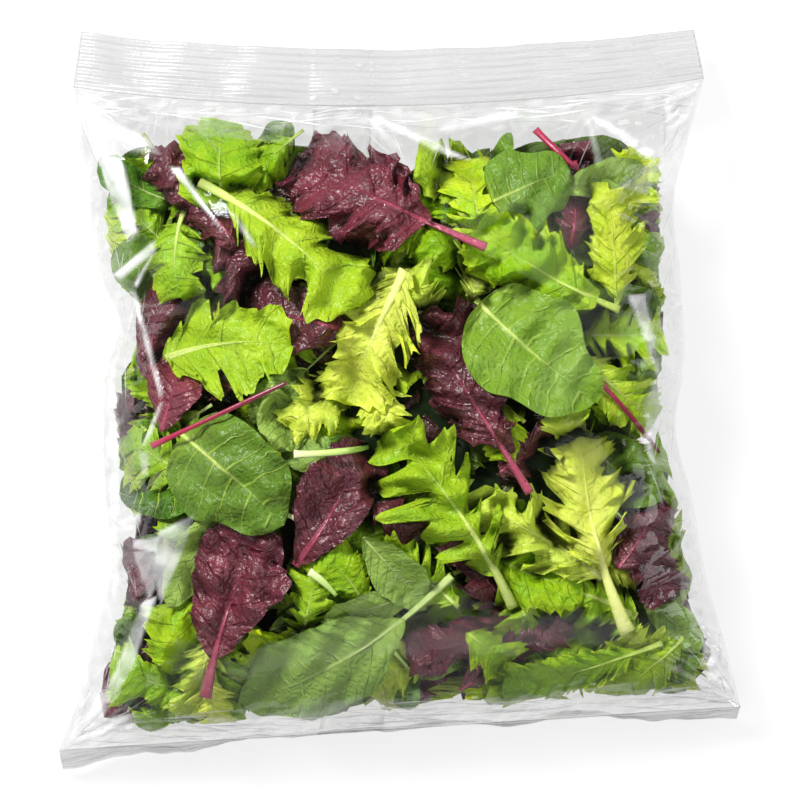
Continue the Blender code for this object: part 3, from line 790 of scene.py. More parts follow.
def grown_leaf(cut, stem, tip, width, depth, tint, stalk=0.0, seed=0, face=1, tilt=0.3, turned=False):
    """A leaf from the end of its stalk to its tip, in metres: its blade as a grid of points, and a rod
    for its rib and stalk. It lies that deep under the film of the face it shows at."""
    rng = np.random.default_rng(seed)
    stem, tip = np.array(stem, dtype=float), np.array(tip, dtype=float)
    length = float(np.hypot(*(tip - stem)))
    ahead = (tip - stem) / length
    aside = np.array((-ahead[1], ahead[0]))
    blade = length * (1 - stalk)
    size = math.sqrt(length * width) / 0.045
    fine = 1.0 if face > 0 and depth < HIDDEN_BELOW else 1.7
    rows = int(np.clip(max(blade / cut["row"] / fine, 3.6 * cut["teeth"] * blade / fine), 16, 130))
    columns = 2 * int(np.clip(width / 2 / cut["column"] / fine, 3, 18))
    even = np.linspace(0, 1, rows + 1)
    q = 0.65 * even + 0.35 * (1 - np.cos(math.pi * even)) / 2
    v = np.linspace(-1, 1, columns + 1)
    v = np.sign(v) * np.abs(v) ** 0.85
    low, high = cut["base"], cut["tip"]
    wide = low / (low + high)
    full = (q / wide) ** low * ((1 - q) / (1 - wide)) ** high
    out_u = blade * (q - cut["heart"] * np.sin(math.pi * np.clip(q / 0.40, 0, 1)) ** 2)
    mid_u = blade * q ** (1 + cut["slant"])

    sides = []
    for side in (-1, 1):
        reach, curl, swing, teeth, turn_up = leaf_edge(cut, q, blade, rng)
        spread = width / 2 * rng.uniform(0.86, 1.10)
        out_w = reach * full * spread
        u = mid_u + reach * (out_u - mid_u) + swing * 0.10 * out_w
        teeth = teeth * np.clip(full * 2.5, 0, 1)
        sides.append((u, side * out_w, curl, teeth, side * teeth, turn_up, rng.uniform(0, 6.28)))
    left = (v < 0)[None, :]
    far_u, far_w, curl, tooth_u, tooth_w, turn_up, phase = (
        np.where(left, *(np.reshape(pair, (-1, 1)) for pair in (sides[0][k], sides[1][k]))) for k in range(7)
    )
    share = np.abs(v)[None, :]
    at_edge = share**7
    u = mid_u[:, None] + share * (far_u - mid_u[:, None]) + 0.6 * tooth_u * at_edge
    w = share * far_w + tooth_w * at_edge

    # Ruffles, curled lobes and teeth, blisters, and the bulges between veins.
    around = q[:, None]
    turns = 2 * math.pi * cut["waves"] * blade * (around + 0.06 * np.sin(5 * around + phase))
    swell = (0.70 + 0.45 * np.sin(9.0 * around + phase * 2)) * cut["ruffle"] * size
    margin = share**2 * np.clip(full, 0.3, 1)[:, None]
    rise = swell * margin * (np.sin(turns + phase) + 0.40 * np.sin(2.6 * turns + 2 * phase))
    rise = rise + curl * cut["curl"] * size * share**2 + turn_up * 0.45 * tooth_u * at_edge
    u = u + 0.60 * swell * share**3 * np.cos(turns + phase)
    w = w * (1 - 0.16 * margin * np.clip(swell / (3 * MM), 0, 1))
    off_rib = 1 - np.exp(-((w / (3 * MM)) ** 2))
    blisters = 0.8 - np.abs(bumpy(u + rng.uniform(0, 1), w, cut["blister_size"], seed + 5))
    pillow = np.abs(np.sin(math.pi * (cut["veins"] * (around + 0.025) + 0.21 * np.sign(v)[None, :] - 0.5)))
    local = cut["blister"] * blisters * off_rib + cut["quilt"] * (pillow**0.7 - 0.6) * share * (1.3 - share)
    rise = rise + local
    rise = rise + np.abs(w) * cut["fold"] + cut["cup"] * width * share**2 * rng.uniform(-1.2, 0.8)
    rise = rise + cut["buckle"] * size * bumpy(u + rng.uniform(0, 1), w, 18 * MM, seed + 6, 5)
    rise = rise + w * tilt * (rng.normal(0, 0.7) + rng.normal(0, 0.8) * (around - 0.5))

    bend = rng.normal(0, 0.035) * length
    dip = rng.normal(0, 0.5) * tilt
    arch = cut["arch"] * rng.uniform(0.2, 1.5)
    rod_s = np.linspace(0, stalk + 0.93 * (1 - stalk), max(5, int(length / (1.8 * MM))))

    def placed(u, w, rise):
        """Plan points and depths of places along and beside the midrib."""
        s = u / length
        shift = bend * 4 * s * (1 - s)
        turn = np.arctan(bend / length * 4 * (1 - 2 * s))
        x = stem[0] + ahead[0] * (u - w * np.sin(turn)) + aside[0] * (shift + w * np.cos(turn))
        y = stem[1] + ahead[1] * (u - w * np.sin(turn)) + aside[1] * (shift + w * np.cos(turn))
        lean = dip * (u - length / 2) - arch * length * (2 * s - 1) ** 2
        return x, y, depth - rise - lean

    x, y, deep = placed(u + stalk * length, w, rise)
    middle = columns // 2
    rod_x, rod_y, rod_deep = placed(rod_s * length, np.zeros_like(rod_s), np.zeros_like(rod_s))
    on_blade = np.interp(rod_s * length, u[:, middle] + stalk * length, deep[:, middle])
    at_foot = np.interp(stalk * length, rod_s * length, rod_deep)
    rod_deep = np.where(rod_s >= stalk, on_blade, rod_deep + deep[0, middle] - at_foot)
    rod_turn = np.arctan2(np.gradient(rod_y), np.gradient(rod_x))
    rod_share = rod_s / rod_s[-1]
    thick = cut["rib"] * min(size, 1.3) ** 1.2 * (0.04 + 0.96 * (1 - rod_share) ** 1.8) / 2
    return dict(
        x=x, y=y, deep=deep, q=q, v=v, face=face, depth=depth, stalk=stalk, turned=turned,
        # Raised blisters and bulges are painted paler and sunken ones darker: painted light and shade on the leaf's
        # tint.
        tint=tint + 0.16 * np.clip(local / MM, -1, 1), mid_u=u[:, middle] + stalk * length,
        rod=(rod_x, rod_y, rod_deep, rod_turn, thick), rod_s=rod_s, rod_u=rod_s * length, mean_tint=tint,
    )


def kept_inside(x, y):
    """The points, moved in towards the heap where they would reach into the empty rim of the bag."""
    across, along = bag_share(x, y)
    soft = 0.05
    limit = np.minimum(BLADE_ACROSS + 0.03 * bumpy(along, along * 0, 0.09, 71) - 0.01, 0.975) - soft
    over = np.abs(across) - limit
    across = np.where(over > 0, np.sign(across) * (limit + soft * (1 - np.exp(-over / soft))), across)
    soft = 0.014
    uneven = 0.008 * bumpy(across, across * 0, 0.22, 72)
    low = BLADE_ALONG[0] + soft + np.maximum(uneven, -0.006)
    high = BLADE_ALONG[1] - soft - np.maximum(uneven, -0.006) - 0.03 * np.abs(across) ** 3
    along = np.where(along < low, low - soft * (1 - np.exp((along - low) / soft)), along)
    along = np.where(along > high, high + soft * (1 - np.exp((high - along) / soft)), along)
    return (*plan_point(across, along), across, along)


def moved_inside(leaf, room):
    """A scattered leaf, moved as a whole so that little of it reaches into the bag's rim."""
    across, along = bag_share(leaf["x"], leaf["y"])
    over_x = max(0.0, across.max() - BLADE_ACROSS + room) + min(0.0, across.min() + BLADE_ACROSS - room)
    over_y = max(0.0, along.max() - BLADE_ALONG[1] + 0.06 + 1.4 * room) + min(0.0, along.min() - BLADE_ALONG[0])
    rod_x, rod_y, *rest = leaf["rod"]
    shift_x, shift_y = -over_x * 0.11, -over_y * 0.24
    leaf.update(x=leaf["x"] + shift_x, y=leaf["y"] + shift_y, rod=(rod_x + shift_x, rod_y + shift_y, *rest))
    return leaf


def held_inside(deep, across, along, face):
    """The depth below the film, held back where the bag is thin, so that no leaf comes out behind."""
    thickness = np.maximum(sampled(front, across, along) - sampled(back, across, along), 1.0 * MM)
    half = thickness * (FRONT_SHARE if face > 0 else 1 - FRONT_SHARE) / 2
    return np.where(deep < half, deep, half * (2 - np.exp(1 - np.maximum(deep / half, 1))))


def leaf_points(leaf):
    """All points of a leaf in space: its blade, if it has one, then its rod ring by ring."""
    face, film, points = leaf["face"], front if leaf["face"] > 0 else back, []
    if "x" in leaf:
        x, y, across, along = kept_inside(leaf["x"], leaf["y"])
        z = sampled(film, across, along) - face * held_inside(leaf["deep"], across, along, face)
        points.append(np.stack((x, y, z), axis=2).reshape(-1, 3))
    rod_x, rod_y, rod_deep, turn, thick = leaf["rod"]
    x, y, across, along = kept_inside(rod_x, rod_y)
    z = sampled(film, across, along) - face * held_inside(rod_deep, across, along, face)
    angle = np.linspace(0, 2 * math.pi, ROD_SIDES, endpoint=False)
    out, up = thick[:, None] * np.cos(angle), ROD_HEIGHT * thick[:, None] * np.sin(angle)
    rod = (x[:, None] - np.sin(turn)[:, None] * out, y[:, None] + np.cos(turn)[:, None] * out, z[:, None] + up)
    points.append(np.stack(rod, axis=2).reshape(-1, 3))
    return np.concatenate(points)


heap = []  # of all leaves, with the mesh that each is in, for the settling at the end


def leaf_piece(name, leaves, material):
    """One mesh object of all the leaves of a kind."""
    points, quads, caps = [], [], []
    marks = {"along": [], "across": [], "tint": [], "rib": []}
    start = 0
    for leaf in leaves:
        points.append(leaf_points(leaf))
        rings = len(leaf["rod_s"])
        if "x" in leaf:
            rows, columns = leaf["x"].shape
            blade_quads = grid_quads(rows, columns, start)
            upward = (leaf["face"] > 0) != leaf["turned"]
            quads.append(blade_quads if upward else blade_quads[:, ::-1])
            marks["along"].append(np.repeat(leaf["q"], columns))
            marks["across"].append(np.tile(leaf["v"], rows))
            marks["tint"].append(leaf["tint"].ravel())
            marks["rib"].append(np.zeros(rows * columns))
            start += rows * columns
        ring, corner = np.meshgrid(np.arange(rings - 1), np.arange(ROD_SIDES), indexing="ij")
        first = (start + ring * ROD_SIDES + corner).ravel()
        beside = (start + ring * ROD_SIDES + (corner + 1) % ROD_SIDES).ravel()
        quads.append(np.stack((first, beside, beside + ROD_SIDES, first + ROD_SIDES), axis=1))
        caps.append(np.arange(ROD_SIDES)[::-1] + start)
        caps.append(np.arange(ROD_SIDES) + start + (rings - 1) * ROD_SIDES)
        marks["along"].append(np.repeat(leaf["rod_s"], ROD_SIDES))
        marks["across"].append(np.tile(0.06 * np.cos(np.arange(ROD_SIDES) * 2 * math.pi / ROD_SIDES), rings))
        marks["tint"].append(np.full(rings * ROD_SIDES, leaf["mean_tint"]))
        marks["rib"].append(np.full(rings * ROD_SIDES, 0.55))
        start += rings * ROD_SIDES
    joined = {key: np.concatenate(values) for key, values in marks.items()}
    piece = mesh_piece(name, np.concatenate(points), np.concatenate(quads), joined, caps)
    piece.data.materials.append(material)
    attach(piece, "root")
    heap.extend((leaf, piece.data) for leaf in leaves)
    return piece


def placed_leaves(cut, places, seed):
    """Leaves from rows of stem and tip in plan, width and depth, all in mm, then tint and stalk share."""
    leaves = []
    for i, (stem, tip, width, depth, tint, stalk) in enumerate(places):
        stem, tip = [[value * MM for value in end] for end in (stem, tip)]
        leaves.append(grown_leaf(cut, stem, tip, width * MM, depth * MM, tint, stalk, seed + i))
    return leaves


def scattered_leaves(cut, count, lengths, slimness, depths, tints, seed, face=1, rim=False):
    """More leaves of the kind, spread evenly over a face or round its rim, and turned at random."""
    rng = np.random.default_rng(seed)
    leaves = []
    for i in range(count):
        if rim:
            turn = 2 * math.pi * ((i + rng.uniform(-0.3, 0.3)) / count + seed * 0.377)
            square = max(abs(math.cos(turn)), abs(math.sin(turn)))
            across, along = 0.84 * math.cos(turn) / square, 0.505 + 0.405 * math.sin(turn) / square
            heading = turn + rng.uniform(-1.1, 1.1)
        else:
            across = 0.86 * (2 * ((seed * 0.37 + (i + 1) * 0.7548777) % 1) - 1)
            along = 0.07 + 0.86 * ((seed * 0.61 + (i + 1) * 0.5698403) % 1)
            heading = rng.uniform(0, 2 * math.pi)
        x, y = (float(value) for value in plan_point(np.array(across), np.array(along)))
        length = rng.uniform(*lengths) * MM
        back_x, back_y = math.cos(heading) * length / 2, math.sin(heading) * length / 2
        width = length * rng.uniform(*slimness)
        leaves.append(moved_inside(grown_leaf(
            cut, (x - back_x, y - back_y), (x + back_x, y + back_y), width, rng.uniform(*depths) * MM,
            rng.uniform(*tints), rng.uniform(0, 0.12), seed * 100 + i, face, 0.55, rng.uniform() < 0.2,
        ), rng.uniform(0, 0.06)))
    return leaves


def vein_group():
    """A leaf's veins from its along and across shares: side veins, a fine net, and their height."""
    group = bpy.data.node_groups.new("leaf veins", "ShaderNodeTree")
    for name in ("Side Veins", "Vein Width", "Net Scale", "Net Strength"):
        group.interface.new_socket(name, in_out="INPUT", socket_type="NodeSocketFloat")
    for name in ("Rib", "Veins", "Height"):
        group.interface.new_socket(name, in_out="OUTPUT", socket_type="NodeSocketFloat")
    given = group.nodes.new("NodeGroupInput").outputs
    result = group.nodes.new("NodeGroupOutput")

    def math_node(operation, *values, clamp=False):
        return add_node(group, "Math", dict(enumerate(values)), operation=operation, use_clamp=clamp).outputs[0]

    place = add_node(group, "TexCoord").outputs["Object"]
    along = add_node(group, "Attribute", attribute_name="along").outputs["Fac"]
    across = add_node(group, "Attribute", attribute_name="across").outputs["Fac"]
    rod = add_node(group, "Attribute", attribute_name="rib").outputs["Fac"]
    outward = math_node("ABSOLUTE", across)
    side = math_node("MULTIPLY", math_node("SIGN", across), 0.21)
    wander = add_node(group, "TexNoise", {"Vector": place, "Scale": 80.0, "Detail": 2.0}).outputs["Fac"]
    bowed = math_node("ADD", along, math_node("MULTIPLY", wander, 0.09))
    bowed = math_node("SUBTRACT", bowed, math_node("MULTIPLY", math_node("MULTIPLY", outward, outward), 0.05))
    turns = math_node("ADD", math_node("MULTIPLY", bowed, given["Side Veins"]), side)
    off = math_node("ABSOLUTE", math_node("SUBTRACT", math_node("FRACT", turns), 0.5))
    wide = math_node("MULTIPLY", given["Vein Width"], math_node("SUBTRACT", 1.15, outward))
    vein = math_node("SUBTRACT", 1.0, math_node("DIVIDE", off, wide), clamp=True)
    forks = math_node("ADD", math_node("MULTIPLY", turns, 2.0), math_node("MULTIPLY", wander, 1.2))
    off = math_node("ABSOLUTE", math_node("SUBTRACT", math_node("FRACT", forks), 0.5))
    fork = math_node("SUBTRACT", 1.0, math_node("DIVIDE", off, given["Vein Width"]), clamp=True)
    fork_part = math_node("MULTIPLY", math_node("SUBTRACT", outward, 0.25, clamp=True), 0.9)
    vein = math_node("MAXIMUM", vein, math_node("MULTIPLY", fork, fork_part))
    rib = math_node("SUBTRACT", 1.0, math_node("DIVIDE", outward, math_node("SUBTRACT", 0.085, math_node(
        "MULTIPLY", along, 0.07))), clamp=True)
    rib = math_node("MAXIMUM", rib, rod)
    fading = math_node("MULTIPLY", math_node("SUBTRACT", 1.02, along, clamp=True), 1.9, clamp=True)
    rib = math_node("MULTIPLY", rib, fading)
    bend = add_node(group, "TexNoise", {"Vector": place, "Scale": 250.0, "Detail": 1.0}).outputs["Color"]
    bent = add_node(group, "VectorMath", {0: bend, 1: (0.004, 0.004, 0.004), 2: place}, operation="MULTIPLY_ADD")
    bent = bent.outputs["Vector"]
    net = add_node(
        group, "TexVoronoi", {"Vector": bent, "Scale": given["Net Scale"]}, feature="DISTANCE_TO_EDGE"
    ).outputs["Distance"]
    net_line = math_node("SUBTRACT", 1.0, math_node("DIVIDE", net, 0.13), clamp=True)
    net_part = math_node("MULTIPLY", net_line, given["Net Strength"])
    veins = math_node("MAXIMUM", vein, net_part, clamp=True)
    swell = add_node(
        group, "MapRange", {"Value": net, "From Max": 0.4}, interpolation_type="SMOOTHSTEP"
    ).outputs[0]
    crinkle = add_node(group, "TexNoise", {"Vector": place, "Scale": 480.0, "Detail": 3.0}).outputs["Fac"]
    height = math_node("SUBTRACT", math_node("MULTIPLY", swell, 0.24), math_node("MULTIPLY", vein, 0.40))
    height = math_node("ADD", height, math_node("MULTIPLY", crinkle, 0.55))
    height = math_node("MULTIPLY", height, math_node("SUBTRACT", 1.0, rib))
    for name, value in (("Rib", rib), ("Veins", veins), ("Height", height)):
        group.links.new(value, result.inputs[name])
    return group


leaf_veins = vein_group()


def leaf_material(name, blade, margin, vein, rib, underside, side_veins, net=(420.0, 0.4), vein_width=0.09,
                  vein_share=0.8, margin_share=0.4, gloss=0.42, relief=0.0006, glow=0.24, patchy=0.5,
                  blush="c8d890", blush_reach=4.0, sheen=0.3):
    """A leaf: blade is a row of colours from its darkest tint to its palest one."""
    material, tree, output = new_material(name)

    def blend(share, first, second):
        node = add_node(tree, "Mix", data_type="RGBA")
        for socket, value in ((0, share), (6, first), (7, second)):
            if isinstance(value, bpy.types.NodeSocket):
                tree.links.new(value, node.inputs[socket])
            else:
                node.inputs[socket].default_value = value
        return node.outputs[2]

    def math_node(operation, *values, clamp=False):
        return add_node(tree, "Math", dict(enumerate(values)), operation=operation, use_clamp=clamp).outputs[0]

    veins = tree.nodes.new("ShaderNodeGroup")
    veins.node_tree = leaf_veins
    for key, value in (
        ("Side Veins", side_veins), ("Vein Width", vein_width), ("Net Scale", net[0]), ("Net Strength", net[1])
    ):
        veins.inputs[key].default_value = value
    place = add_node(tree, "TexCoord").outputs["Object"]
    # The tint attribute holds each leaf's own tint and, on blades, painted light and shade from their relief.
    tint = add_node(tree, "Attribute", attribute_name="tint").outputs["Fac"]
    along = add_node(tree, "Attribute", attribute_name="along").outputs["Fac"]
    across = add_node(tree, "Attribute", attribute_name="across").outputs["Fac"]
    cloud = add_node(tree, "TexNoise", {"Vector": place, "Scale": 95.0, "Detail": 3.0}).outputs["Fac"]
    uneven = math_node("MULTIPLY", math_node("SUBTRACT", cloud, 0.5), patchy)
    shade = math_node("MULTIPLY", math_node("ADD", tint, uneven), 1 / 1.5, clamp=True)
    ramp = add_node(tree, "ValToRGB", {"Fac": shade})
    stops = ramp.color_ramp.elements
    stops[0].position, stops[0].color = 0.0, colour(blade[0])
    stops[1].position, stops[1].color = 1.0, colour(blade[-1])
    for i, code in enumerate(blade[1:-1], start=1):
        stops.new(i / (len(blade) - 1)).color = colour(code)
    outward = math_node("POWER", math_node("ABSOLUTE", across), 9.0)
    body = blend(math_node("MULTIPLY", outward, margin_share), ramp.outputs["Color"], colour(margin))
    near_base = math_node("POWER", math_node("SUBTRACT", 1.0, along, clamp=True), blush_reach)
    inner = math_node("SUBTRACT", 1.0, math_node("ABSOLUTE", across), clamp=True)
    inner = math_node("MULTIPLY_ADD", inner, 0.7, 0.3)
    body = blend(math_node("MULTIPLY", near_base, inner), body, colour(blush))
    body = blend(math_node("MULTIPLY", veins.outputs["Veins"], vein_share), body, colour(vein))
    body = blend(math_node("MULTIPLY", veins.outputs["Rib"], 0.92), body, colour(rib))
    behind = add_node(tree, "NewGeometry").outputs["Backfacing"]
    body = blend(math_node("MULTIPLY", behind, 0.55), body, colour(underside))
    # Painted shade: leaves deep in the heap are darkened towards near-black green.
    painted_shade = add_node(tree, "Attribute", attribute_name="shade").outputs["Fac"]
    body = blend(math_node("MULTIPLY", painted_shade, 0.82), body, colour("0a1605"))
    bump = add_node(tree, "Bump", {"Height": veins.outputs["Height"], "Distance": relief, "Strength": 1.0})
    shader = add_node(tree, "BsdfPrincipled", {
        "Base Color": body, "Roughness": gloss, "Specular IOR Level": sheen,
        "Normal": bump.outputs["Normal"],
    })
    lit = add_node(tree, "BsdfTranslucent", {"Color": body, "Normal": bump.outputs["Normal"]})
    surface = add_node(tree, "MixShader", {0: glow, 1: shader.outputs[0], 2: lit.outputs[0]})
    tree.links.new(surface.outputs[0], output.inputs["Surface"])
    return material


# Stem and tip in plan, width, depth under the film (mm), tint from dark 0 to pale 1.5, share of stalk.
SPINACH_PLACES = (
    ((31, 41), (80, -1), 45, 0.6, 0.95, 0.04),  # the big matt one right of the middle
    ((-91, -13), (-47, -51), 42, 0.8, 0.12, 0.04),  # the glossy one on the left
    ((38, 81), (70, 94), 34, 2, 0.45, 0.0),  # the round one near the top
    ((81, 79), (107, 94), 24, 5, 0.3, 0.0),
    ((77, -19), (108, -42), 24, 2.6, 0.15, 0.0),
    ((-59, 98), (-45, 115), 15, 4, 0.25, 0.0),
    ((-86, 56), (-107, 81), 25, 9, 0.4, 0.0),
    ((-108, -89), (-121, -112), 16, 5, 0.6, 0.0),
    ((34, 93), (21, 107), 8, 5, 0.5, 0.0),
    ((40, 93), (46, 111), 8, 5, 0.6, 0.0),
    ((-115, -15), (-112, -30), 10, 6, 0.4, 0.0),
    ((98, 16), (81, 33), 20, 8, 0.3, 0.0),
)
spinach = placed_leaves(SPINACH, SPINACH_PLACES, 100)
spinach += scattered_leaves(SPINACH, 16, (34, 52), (0.62, 0.80), (10, 20), (0.0, 0.6), 3)
spinach += scattered_leaves(SPINACH, 9, (30, 46), (0.62, 0.80), (3, 7), (0.0, 0.7), 4, rim=True)
spinach += scattered_leaves(SPINACH, 7, (34, 50), (0.62, 0.80), (11, 24), (0.0, 0.7), 6, rim=True)
spinach += scattered_leaves(SPINACH, 12, (34, 55), (0.62, 0.80), (1, 6), (0.0, 0.9), 5, face=-1)
spinach += scattered_leaves(SPINACH, 6, (34, 48), (0.62, 0.80), (8, 22), (0.1, 0.9), 26, face=-1, rim=True)
leaf_piece("spinach", spinach, leaf_material(
    "spinach leaf", ("1a3c02", "427406", "7aa224", "a6ba4c"), "44780c", "acc850", "c8da78", "6c8c30",
    side_veins=6.0, net=(330.0, 0.14), vein_width=0.09, vein_share=1.0, margin_share=0.15, gloss=0.32,
    relief=0.0011, glow=0.20, patchy=0.9, blush="b0c840", blush_reach=8.0, sheen=0.25,
))

# ---- Long baby leaves ----
# Smooth long leaves of young chard, rocket and mizuna, mid green and thin, with a pale or brown rib that
# runs on into a slim stalk.

BABY_LEAF = dict(
    base=0.85, tip=0.72, slant=0.55, heart=0.0, lobes=0, lobe_depth=0.0, lobe_gap=0.5,
    teeth=110.0, tooth=0.7 * MM, ruffle=2.4 * MM, waves=42.0, curl=0.0, buckle=2.0 * MM, blister=0.7 * MM,
    blister_size=7.0 * MM, quilt=1.3 * MM, veins=8, cup=0.12, fold=0.16, arch=0.06, rib=2.6 * MM,
    row=1.1 * MM, column=1.3 * MM,
)
BABY_LEAF_PLACES = (
    ((21, -72), (-67, -128), 41, 1.5, 0.55, 0.26),  # the long one along the foot
    ((-70, -43), (-96, -86), 18, 2.5, 1.0, 0.0),  # the pale slim one with a brown rib
    ((-15, -128), (34, -101), 18, 5, 0.6, 0.35),
    ((-15, -56), (11, -86), 19, 4, 0.7, 0.0),
    ((-20, 29), (-60, -10), 22, 3, 0.75, 0.45),
    ((110, -99), (120, -54), 18, 6, 0.8, 0.1),
    ((-52, 6), (-44, -21), 19, 2.5, 0.9, 0.0),
    ((9, -77), (-32, -91), 16, 4, 0.8, 0.1),
)
baby_leaves = placed_leaves(BABY_LEAF, BABY_LEAF_PLACES, 200)
baby_leaves += scattered_leaves(BABY_LEAF, 12, (45, 72), (0.30, 0.46), (11, 22), (0.1, 0.8), 7)
baby_leaves += scattered_leaves(BABY_LEAF, 8, (36, 52), (0.32, 0.48), (2, 7), (0.2, 0.9), 8, rim=True)
baby_leaves += scattered_leaves(BABY_LEAF, 7, (40, 56), (0.34, 0.48), (11, 24), (0.1, 0.9), 10, rim=True)
baby_leaves += scattered_leaves(BABY_LEAF, 12, (45, 75), (0.30, 0.46), (1, 7), (0.1, 0.9), 9, face=-1)
baby_leaves += scattered_leaves(BABY_LEAF, 6, (38, 54), (0.34, 0.48), (8, 22), (0.2, 1.0), 27, face=-1, rim=True)
leaf_piece("baby_leaves", baby_leaves, leaf_material(
    "long baby leaf", ("2e5e08", "5c901a", "8eb238", "c2d068"), "5c9418", "b4cf70", "cfdc94", "93aa5c",
    side_veins=8.0, net=(300.0, 0.16), vein_width=0.07, vein_share=0.65, margin_share=0.2, gloss=0.40,
    relief=0.0013, glow=0.26, patchy=0.8, blush="b0cc48", blush_reach=6.0, sheen=0.18,
))

# ---- Green lettuce ----
# Torn pieces and small whole leaves of green batavia lettuce: bright, thin, blistered, ruffled along a
# toothed edge, and pale towards a broad watery rib.

GREEN_LETTUCE = dict(
    base=0.66, tip=0.40, slant=0.75, heart=0.0, lobes=3, lobe_depth=0.34, lobe_gap=0.45,
    teeth=380.0, tooth=3.5 * MM, ruffle=5.8 * MM, waves=118.0, curl=3.4 * MM, buckle=2.4 * MM, blister=0.8 * MM,
    blister_size=6.0 * MM, quilt=1.0 * MM, veins=5, cup=0.16, fold=0.08, arch=0.08, rib=3.0 * MM,
    row=1.0 * MM, column=1.3 * MM,
)
ROUND_LETTUCE = dict(
    GREEN_LETTUCE, base=0.46, tip=0.42, slant=0.55, lobes=0, teeth=250.0, ruffle=3.6 * MM, waves=80.0, curl=0.0,
)
ROUND_LETTUCE_PLACES = (
    ((-72, 78), (-73, 117), 36, 1.2, 0.5, 0.0),  # the toothed one at the top left
    ((39, -65), (75, -77), 27, 3, 0.6, 0.02),
    ((-79, -134), (-96, -84), 29, 2.5, 0.75, 0.38),
)
GREEN_LETTUCE_PLACES = (
    ((-40, 112), (-68, 82), 19, 3.5, 0.6, 0.15),
    ((90, 37), (32, 70), 38, 1.2, 0.55, 0.2),  # the bright one right of the top
    ((89, 36), (86, 87), 25, 1.4, 1.35, 0.12),  # the pale one at its side
    ((118, -99), (89, -125), 24, 3, 0.8, 0.1),
    ((109, -101), (42, -122), 24, 2.2, 0.45, 0.18),
    ((28, -96), (46, -111), 21, 3, 0.65, 0.0),
    ((-90, -127), (-110, -138), 16, 4, 0.45, 0.0),
    ((-104, 83), (-110, 100), 15, 6, 0.55, 0.0),
    ((10, 72), (-23, 61), 27, 5, 0.6, 0.05),
    ((35, 62), (4, 63), 19, 6, 0.5, 0.1),
    ((30, 29), (16, 56), 25, 8, 0.4, 0.0),
    ((86, 13), (85, 41), 15, 5, 0.6, 0.0),
    ((-98, -3), (-110, 14), 16, 7, 0.6, 0.0),
    ((104, 41), (104, 70), 19, 7, 0.5, 0.0),
    ((-16, -81), (-31, -64), 22, 6, 0.5, 0.0),
    ((-87, -121), (-107, -107), 20, 5.5, 0.5, 0.0),
    ((41, 6), (42, -24), 15, 4, 0.9, 0.3),
    ((57, 61), (46, 77), 20, 4, 0.5, 0.0),
    ((98, -16), (84, 11), 19, 7, 0.55, 0.0),
    ((-111, -49), (-105, -30), 18, 6, 0.9, 0.1),
    ((77, -118), (65, -98), 18, 6, 0.4, 0.0),
    ((118, -118), (118, -93), 16, 6, 0.35, 0.0),
)
green_lettuce = placed_leaves(ROUND_LETTUCE, ROUND_LETTUCE_PLACES, 350)
green_lettuce += placed_leaves(GREEN_LETTUCE, GREEN_LETTUCE_PLACES, 300)
green_lettuce += scattered_leaves(GREEN_LETTUCE, 26, (36, 56), (0.60, 0.85), (9.2, 22), (0.0, 0.8), 11)
green_lettuce += scattered_leaves(GREEN_LETTUCE, 12, (30, 44), (0.60, 0.90), (2, 7), (0.3, 1.0), 12, rim=True)
green_lettuce += scattered_leaves(GREEN_LETTUCE, 10, (34, 50), (0.60, 0.85), (11, 24), (0.1, 1.0), 14, rim=True)
green_lettuce += scattered_leaves(GREEN_LETTUCE, 13, (38, 62), (0.60, 0.85), (1, 7), (0.2, 1.0), 13, face=-1)
green_lettuce += scattered_leaves(GREEN_LETTUCE, 8, (32, 46), (0.60, 0.85), (8, 22), (0.3, 1.1), 28, face=-1, rim=True)
leaf_piece("green_lettuce", green_lettuce, leaf_material(
    "green lettuce", ("306a00", "78ae02", "c0d80a", "f4f25c"), "d6e424", "c8dc48", "d4e678", "8cb420",
    side_veins=5.0, net=(260.0, 0.16), vein_width=0.05, vein_share=0.75, margin_share=0.75, gloss=0.25,
    relief=0.0017, glow=0.30, patchy=1.4, blush="b8d444", blush_reach=6.0, sheen=0.2,
))

# ---- Red lettuce ----
# Red batavia and red oak-leaf lettuce: maroon to near black, glossy and finely blistered, ruffled, green
# towards the foot of the bigger leaves, with a pink rib.

RED_LETTUCE = dict(
    base=0.62, tip=0.36, slant=0.65, heart=0.0, lobes=3, lobe_depth=0.38, lobe_gap=0.44,
    teeth=320.0, tooth=3.3 * MM, ruffle=6.2 * MM, waves=112.0, curl=3.8 * MM, buckle=2.9 * MM, blister=1.2 * MM,
    blister_size=5.0 * MM, quilt=1.3 * MM, veins=6, cup=0.16, fold=0.12, arch=0.08, rib=3.0 * MM,
    row=1.0 * MM, column=1.3 * MM,
)
SMOOTH_RED_LEAF = dict(
    RED_LETTUCE, base=0.80, tip=0.46, slant=0.60, lobes=0, teeth=170.0, tooth=1.6 * MM, ruffle=2.8 * MM, waves=62.0,
    curl=0.0, buckle=2.2 * MM, rib=4.2 * MM,
)
SMOOTH_RED_LEAF_PLACES = (
    ((-81, -124), (-58, -53), 41, 1.6, 0.55, 0.24),  # the big one at the lower left
    ((-43, -68), (-14, -17), 33, 2.2, 0.3, 0.04),
    ((-98, -13), (-88, 20), 25, 1.6, 0.95, 0.04),  # the bronze one on the left
    ((-103, 8), (-94, 46), 27, 2.2, 0.4, 0.0),
    ((-19, 28), (-64, 42), 29, 2.0, 0.08, 0.03),
)
